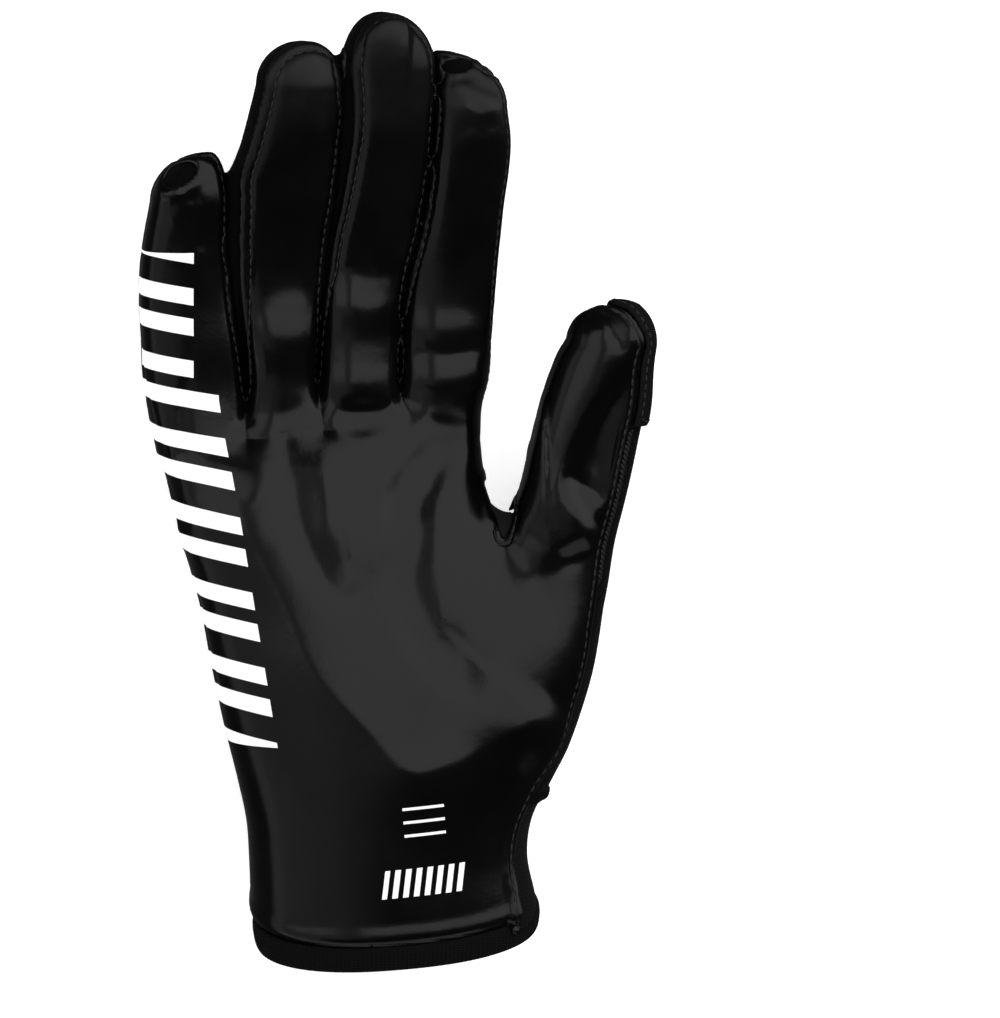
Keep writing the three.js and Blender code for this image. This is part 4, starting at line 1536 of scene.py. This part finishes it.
@dataclass(eq=False)
class ThumbGuard:
    """The cloth guard over the outer side of the thumb's tip, with its boxed stitching."""

    form: HandForm
    pitch: float = 0.8
    low: PLACE = (46.0, 10.0, 8.0)
    high: PLACE = (72.0, 58.0, 44.0)
    thickness: float = 0.8
    proud: float = 1.2
    start: float = 17.6
    lowest: float = 16.5
    inner: float = 52.0
    underlap: float = 0.9
    slant: float = 0.1
    slant_rise: float = 5.6
    edge_drop: float = 0.3
    stitch_inset: float = 1.3
    stitch_pitch: float = 2.2

    def surface(self, points: ARRAY) -> ARRAY:
        """Signed distance from the guard's outer face."""
        return self.form.distance(points) - self.proud

    def cut(self) -> Skin:
        """The guard's outer face, trimmed to its outline."""
        skin = extract(self.surface, self.low, self.high, self.pitch)
        skin = clip(skin, self.underlap - self.form.above_seam(skin.points))
        skin = clip(skin, skin.points[:, 2] - self.lowest)
        skin = clip(skin, skin.points[:, 0] - self.inner)
        along = skin.points[:, 1] + self.slant * skin.points[:, 0]
        return clip(skin, along - self.start - self.slant_rise)

    def build(self) -> list[bpy.types.Object]:
        """Make the guard and its stitches."""
        skin = self.cut()
        edges = measure_edges(skin, lambda place: Border.NARROW)
        normals = skin.normals()
        drop = self.edge_drop * (1.0 - smoothstep(0.0, 0.8, edges.distance))
        skin = Skin(skin.points - normals * drop[:, None], skin.faces)
        guard = build_object("thumb_tip_guard", thicken(skin, self.thickness)[0], GuardCloth().build())
        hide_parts("thumb_guard")
        stitches = []
        for line in contour(skin, edges.distance, self.stitch_inset):
            holes = resample(smooth_line(line, 2), self.stitch_pitch)
            for start, end in zip(holes[:-1], holes[1:]):
                away = np.linalg.norm(skin.points - (start + end) / 2, axis=1)
                stitches.append(stitch(start, end, normals[int(np.argmin(away))]))
        thread = build_object("guard_stitching", gather(stitches), SewingThread().build())
        return [guard, thread]


@dataclass(eq=False)
class ThumbSeam:
    """The overlocked seam down the thumb's outer side, as a rope of twisted threads."""

    leather: PalmLeather
    start: float = -24.0
    end: float = 17.0
    strands: int = 3
    strand_sides: int = 7
    strand_radius: float = 0.42
    rope_radius: float = 0.48
    twist_pitch: float = 3.7
    off: float = -0.55
    coarse_step: float = 0.5
    fine_step: float = 0.22

    def path(self) -> ARRAY:
        """The leather's edge on the outer side of the thumb, from its base up."""
        skin = self.leather.skin
        places = []
        for start, _ in skin.rim():
            point = skin.points[start]
            if self.start < point[1] < self.end and point[0] > THUMB.at("x", point[1]):
                places.append(point)
        line = np.array(sorted(places, key=lambda place: place[1]))
        line = smooth_line(resample(line, self.coarse_step), 12)
        centre = np.stack([THUMB.at("x", line[:, 1]), line[:, 1], THUMB.at("z", line[:, 1])], axis=1)
        outward = line - centre
        outward /= np.linalg.norm(outward, axis=1, keepdims=True)
        return resample(line + outward * self.off, self.fine_step)

    def build(self) -> bpy.types.Object:
        """Twist the strands round the path."""
        path = self.path()
        ahead = np.gradient(path, axis=0)
        ahead /= np.linalg.norm(ahead, axis=1, keepdims=True)
        side = np.cross(ahead, np.array([0.0, 0.0, 1.0]))
        side /= np.linalg.norm(side, axis=1, keepdims=True)
        top = np.cross(side, ahead)
        turn = run_length(path) * math.tau / self.twist_pitch
        taper = smoothstep(0.0, 3.0, run_length(path)) * 0.6 + 0.4
        strands = []
        for strand in range(self.strands):
            angle = turn + strand * math.tau / self.strands
            spread = self.rope_radius * taper[:, None]
            line = path + spread * (np.cos(angle)[:, None] * side + np.sin(angle)[:, None] * top)
            strands.append(tube(line, self.strand_radius * taper, self.strand_sides, top))
        finish = SewingThread("overlock_thread", 0.0008, 0.004)
        thing = build_object("thumb_overlock_seam", gather(strands), finish.build())
        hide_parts("thumb_seam")
        return thing


@dataclass(eq=False)
class WristGusset:
    """The ribbed elastic let into the thumb side of the wrist, and the bulky seam above it."""

    form: HandForm
    back: HandBack
    pitch: float = 0.8
    low: PLACE = (18.0, -118.0, 8.0)
    high: PLACE = (46.0, -70.0, 48.0)
    thickness: float = 0.9
    inset: float = 0.75
    tucked: float = 0.4
    overlap: float = 0.6
    roll_radius: float = 1.25
    roll_y: float = -76.6
    roll_slant: float = 2.6
    roll_steps: int = 40
    roll_sides: int = 14
    roll_sink: float = 0.5

    def surface(self, points: ARRAY) -> ARRAY:
        """Signed distance from the elastic, which lies a little lower than the knit."""
        above = smoothstep(-0.6, 1.2, self.form.above_seam(points))
        return self.form.distance(points) + self.inset + self.tucked * above

    def strip(self) -> bpy.types.Object:
        """Make the elastic."""
        skin = extract(self.surface, self.low, self.high, self.pitch)
        skin = clip(skin, self.back.in_strip(skin.points) + self.overlap)
        skin = clip(skin, self.back.underlap - self.form.above_seam(skin.points))
        skin = clip(skin, self.form.above_hem(skin.points) + HEM_UNDERLAP)
        whole, _ = thicken(skin, self.thickness)
        thing = build_object("wrist_elastic", whole, RibbedElastic(Way.ALONG).build())
        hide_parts("wrist_gusset")
        return thing

    def roll(self) -> bpy.types.Object:
        """Make the bulky cross seam, where several layers meet."""
        steps = self.roll_steps
        angles = np.linspace(0.66, -0.55, steps)
        y = self.roll_y + self.roll_slant * np.linspace(-0.35, 0.65, steps)
        w, h = PALM.at("w", y), PALM.at("h", y)
        across = np.cos(angles) ** (2 / PALM_POWER) * w
        up = np.sign(np.sin(angles)) * np.abs(np.sin(angles)) ** (2 / PALM_POWER) * h
        path = np.stack([PALM.at("x", y) + across, y, PALM.at("z", y) + up], axis=1)
        share = np.linspace(-1.0, 1.0, steps)
        radii = self.roll_radius * (1.0 - 0.6 * share**6) * (1.0 + 0.08 * np.sin(share * 17.0))
        path = smooth_line(path, 4)
        outward = np.stack([across, np.zeros(steps), up], axis=1)
        outward /= np.linalg.norm(outward, axis=1, keepdims=True)
        skin = tube(path - outward * self.roll_sink, radii, self.roll_sides, outward)
        thing = build_object("wrist_cross_seam", skin, RibKnit().build())
        return thing

    def build(self) -> list[bpy.types.Object]:
        """Make both pieces."""
        return [self.strip(), self.roll()]


@dataclass(eq=False)
class CuffBinding:
    """The ribbed elastic tape folded over the hem."""

    gap: float = 0.3
    proud: float = -0.35
    ribs: int = 172
    steps: int = 6
    rib_height: float = 0.24
    profile: tuple[tuple[float, float], ...] = (
        (0.0, -0.55), (0.35, 0.0), (1.2, 0.12), (2.6, 0.15), (4.2, -0.05), (5.4, -0.35),
        (6.1, -0.75), (6.5, -1.2), (6.5, -1.7), (6.1, -2.35), (5.2, -2.6), (3.4, -2.6), (1.6, -2.6),
        (0.4, -2.45), (0.0, -1.9),
    )

    def ring(self, away: float, off: float, angles: ARRAY) -> ARRAY:
        """Points round the wrist at one distance below the hem and off the glove's surface."""
        cosine, sine = np.cos(angles), np.sin(angles)
        across = np.sign(cosine) * np.abs(cosine) ** (2 / PALM_POWER)
        up = np.sign(sine) * np.abs(sine) ** (2 / PALM_POWER)
        y = np.full(len(angles), HEM_Y)
        for _ in range(6):
            x = PALM.at("x", y) + (PALM.at("w", y) + off) * across
            z = PALM.at("z", y) + (PALM.at("h", y) + off) * up
            floor = max(-off - self.proud, 0.0)
            z = floor + np.logaddexp(0.0, (z - floor) * 1.6) / 1.6
            z = z - WRIST_SAG.drop(np.stack([x, y, z], axis=1)) * np.clip(up, 0.0, 1.0)
            y = HEM_Y - self.gap - away + HEM_SKEW * x - HEM_SLOPE * (z - HEM_MID_HEIGHT)
        return np.stack([x, y, z], axis=1)

    def build(self) -> bpy.types.Object:
        """Sweep the folded tape round the hem, with real ribs across it."""
        count = self.ribs * self.steps
        even = np.linspace(0.0, math.tau, 1441)
        walk = self.ring(3.0, 0.0, even)
        reach = run_length(walk)
        angles = np.interp(np.arange(count) / count * reach[-1], reach, even)
        rib = np.abs(np.cos(np.arange(count) * math.pi / self.steps)) ** 0.8
        rings = []
        for away, off in self.profile:
            face = smoothstep(0.1, 1.2, away) if off > -1.0 else 0.0
            plain = self.ring(away, self.proud + off, angles)
            raised = self.ring(away, self.proud + off + self.rib_height, angles)
            rings.append(plain + (raised - plain) * (rib * face)[:, None])
        points = np.vstack(rings)
        faces = []
        total = len(rings)
        for row in range(total):
            following = (row + 1) % total
            for k in range(count):
                onward = (k + 1) % count
                here, there = row * count, following * count
                faces.append((here + k, there + k, there + onward, here + onward))
        thing = build_object("hem_binding", Skin(points, faces), RibbedElastic(Way.ROUND).build())
        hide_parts("cuff_binding")
        return thing


@dataclass(frozen=True)
class Panel:
    """One softbox: a rectangle of even light, level overhead or upright."""

    name: str
    low: tuple[float, float, float]
    high: tuple[float, float, float]
    radiance: float
    facing: tuple[float, float, float] = (0.0, 0.0, -1.0)

    def build(self) -> bpy.types.Object:
        """Make the light, where a radiance of 1 is as bright as white paper."""
        low, high, facing = Vector(self.low), Vector(self.high), Vector(self.facing)
        span = high - low
        data = bpy.data.lights.new(self.name, "AREA")
        data.shape = "RECTANGLE"
        upright = span.z > 0.0
        data.size = span.y if upright and span.y > 0.0 else span.x
        data.size_y = span.z if upright else span.y
        data.energy = self.radiance * math.pi * data.size * data.size_y
        light = bpy.data.objects.new(self.name, data)
        light.location = (low + high) / 2
        light.rotation_euler = facing.to_track_quat("-Z", "Y").to_euler()
        bpy.context.scene.collection.objects.link(light)
        return light


@dataclass
class Studio:
    """A pale floor, soft panels overhead and to the sides, and the photograph's camera."""

    distance: float = 2400.0
    frame_width: float = 250.0
    aim_across: float = 25.5
    aim_up: float = -4.4
    ambient: float = 0.08
    floor_glow: float = 0.55
    panels: tuple[Panel, ...] = (
        Panel("key_overhead", (-0.42, -0.10, 2.7), (5.5, 7.0, 2.7), 2.75),
        Panel("key_side", (5.5, -0.20, 0.1), (5.5, 7.0, 2.7), 2.75, (-1.0, 0.0, 0.0)),
        Panel("side_overhead", (-6.0, -1.1, 2.75), (-0.05, 3.0, 2.75), 0.22),
        Panel("side_middle", (-6.0, -1.1, 2.76), (-0.35, 3.0, 2.76), 0.24),
        Panel("side_far", (-6.0, -1.1, 2.77), (-0.80, 3.0, 2.77), 0.3),
        Panel("side_low", (-7.0, -5.0, 2.77), (-1.9, -1.1, 2.77), 0.95),
        Panel("thumb_light", (-6.0, -0.05, 2.7), (-1.2, 3.5, 2.7), 1.5),
        Panel("key_front", (-0.42, 7.0, 1.9), (5.5, 7.0, 2.7), 2.4, (0.0, -1.0, 0.0)),
        Panel("side_wall", (-7.0, -5.0, 0.12), (-7.0, 3.0, 2.7), 1.2, (1.0, 0.0, 0.0)),
        Panel("low_front", (-5.0, -2.6, 0.4), (2.0, -2.6, 1.7), 1.4, (0.0, 1.0, 0.0)),
    )

    def axes(self) -> tuple[ARRAY, ARRAY, ARRAY]:
        """The camera's right, up and backward directions."""
        right = np.array([math.cos(VIEW_ASIDE), 0.0, math.sin(VIEW_ASIDE)])
        up = np.array(
            [math.sin(VIEW_AHEAD) * math.tan(VIEW_ASIDE), math.cos(VIEW_AHEAD), -math.sin(VIEW_AHEAD)]
        )
        up /= np.linalg.norm(up)
        return right, up, np.cross(right, up)

    def camera(self) -> bpy.types.Object:
        """Make the camera."""
        right, up, back = self.axes()
        target = np.array([0.0, 0.0, VIEW_HEIGHT]) + right * self.aim_across + up * self.aim_up
        target += HAND_SHIFT
        data = bpy.data.cameras.new("camera")
        data.sensor_fit = "HORIZONTAL"
        data.sensor_width = 36.0
        data.lens = data.sensor_width * self.distance / self.frame_width
        data.clip_end = 20.0
        camera = bpy.data.objects.new("camera", data)
        camera.matrix_world = matrix_of(right, up, back, (target + back * self.distance) * MM)
        bpy.context.scene.collection.objects.link(camera)
        bpy.context.scene.camera = camera
        return camera

    def floor(self) -> bpy.types.Object:
        """Make the pale floor, far wider than the view."""
        mesh = bpy.data.meshes.new("floor")
        reach = 3.0
        corners = [(-reach, -reach, 0.0), (reach, -reach, 0.0), (reach, reach, 0.0), (-reach, reach, 0.0)]
        mesh.from_pydata(corners, [], [(0, 1, 2, 3)])
        graph = Graph("floor_paper")
        glow = {"Emission_Color": grey(1.0), "Emission_Strength": self.floor_glow}
        finish = graph.dress(Base_Color=grey(0.86), Roughness=0.9, **glow)
        mesh.materials.append(finish)
        floor = bpy.data.objects.new("floor", mesh)
        floor.visible_glossy = False
        bpy.context.scene.collection.objects.link(floor)
        return floor

    def build(self) -> None:
        """Make the whole studio."""
        self.camera()
        self.floor()
        for panel in self.panels:
            panel.build()
        world = bpy.data.worlds.new("studio_air")
        world.use_nodes = True
        background = world.node_tree.nodes["Background"]
        background.inputs["Color"].default_value = grey(1.0)
        background.inputs["Strength"].default_value = self.ambient
        bpy.context.scene.world = world
        bpy.context.scene.view_settings.view_transform = "Standard"


def matrix_of(right: ARRAY, up: ARRAY, back: ARRAY, place: ARRAY) -> Matrix:
    """A placing matrix from three directions and a place."""
    rows = [[right[k], up[k], back[k], place[k]] for k in range(3)]
    return Matrix(rows + [[0.0, 0.0, 0.0, 1.0]])


def set_on_body(piece: bpy.types.Object) -> None:
    """Let a piece ride with the glove."""
    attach(piece, BODY)
    LOG.info("%s: %d points, %d faces", piece.name, len(piece.data.vertices), len(piece.data.polygons))


def main() -> None:
    """Build the studio and the glove, piece by piece."""
    logging.basicConfig(level=logging.INFO, format="%(name)s: %(message)s")
    Studio().build()
    form = HandForm()
    leather = PalmLeather(form, Relief(PALM_RELIEF))
    set_on_body(leather.build())
    set_on_body(BorderStitching(leather).build())
    back = HandBack(form)
    set_on_body(back.build())
    set_on_body(FingertipPatches(form, leather).build())
    set_on_body(ThumbGusset(form).build())
    for piece in ThumbGuard(form).build():
        set_on_body(piece)
    set_on_body(ThumbSeam(leather).build())
    for piece in WristGusset(form, back).build():
        set_on_body(piece)
    set_on_body(CuffBinding().build())
    bpy.context.view_layer.update()


if __name__ == "__main__":
    main()
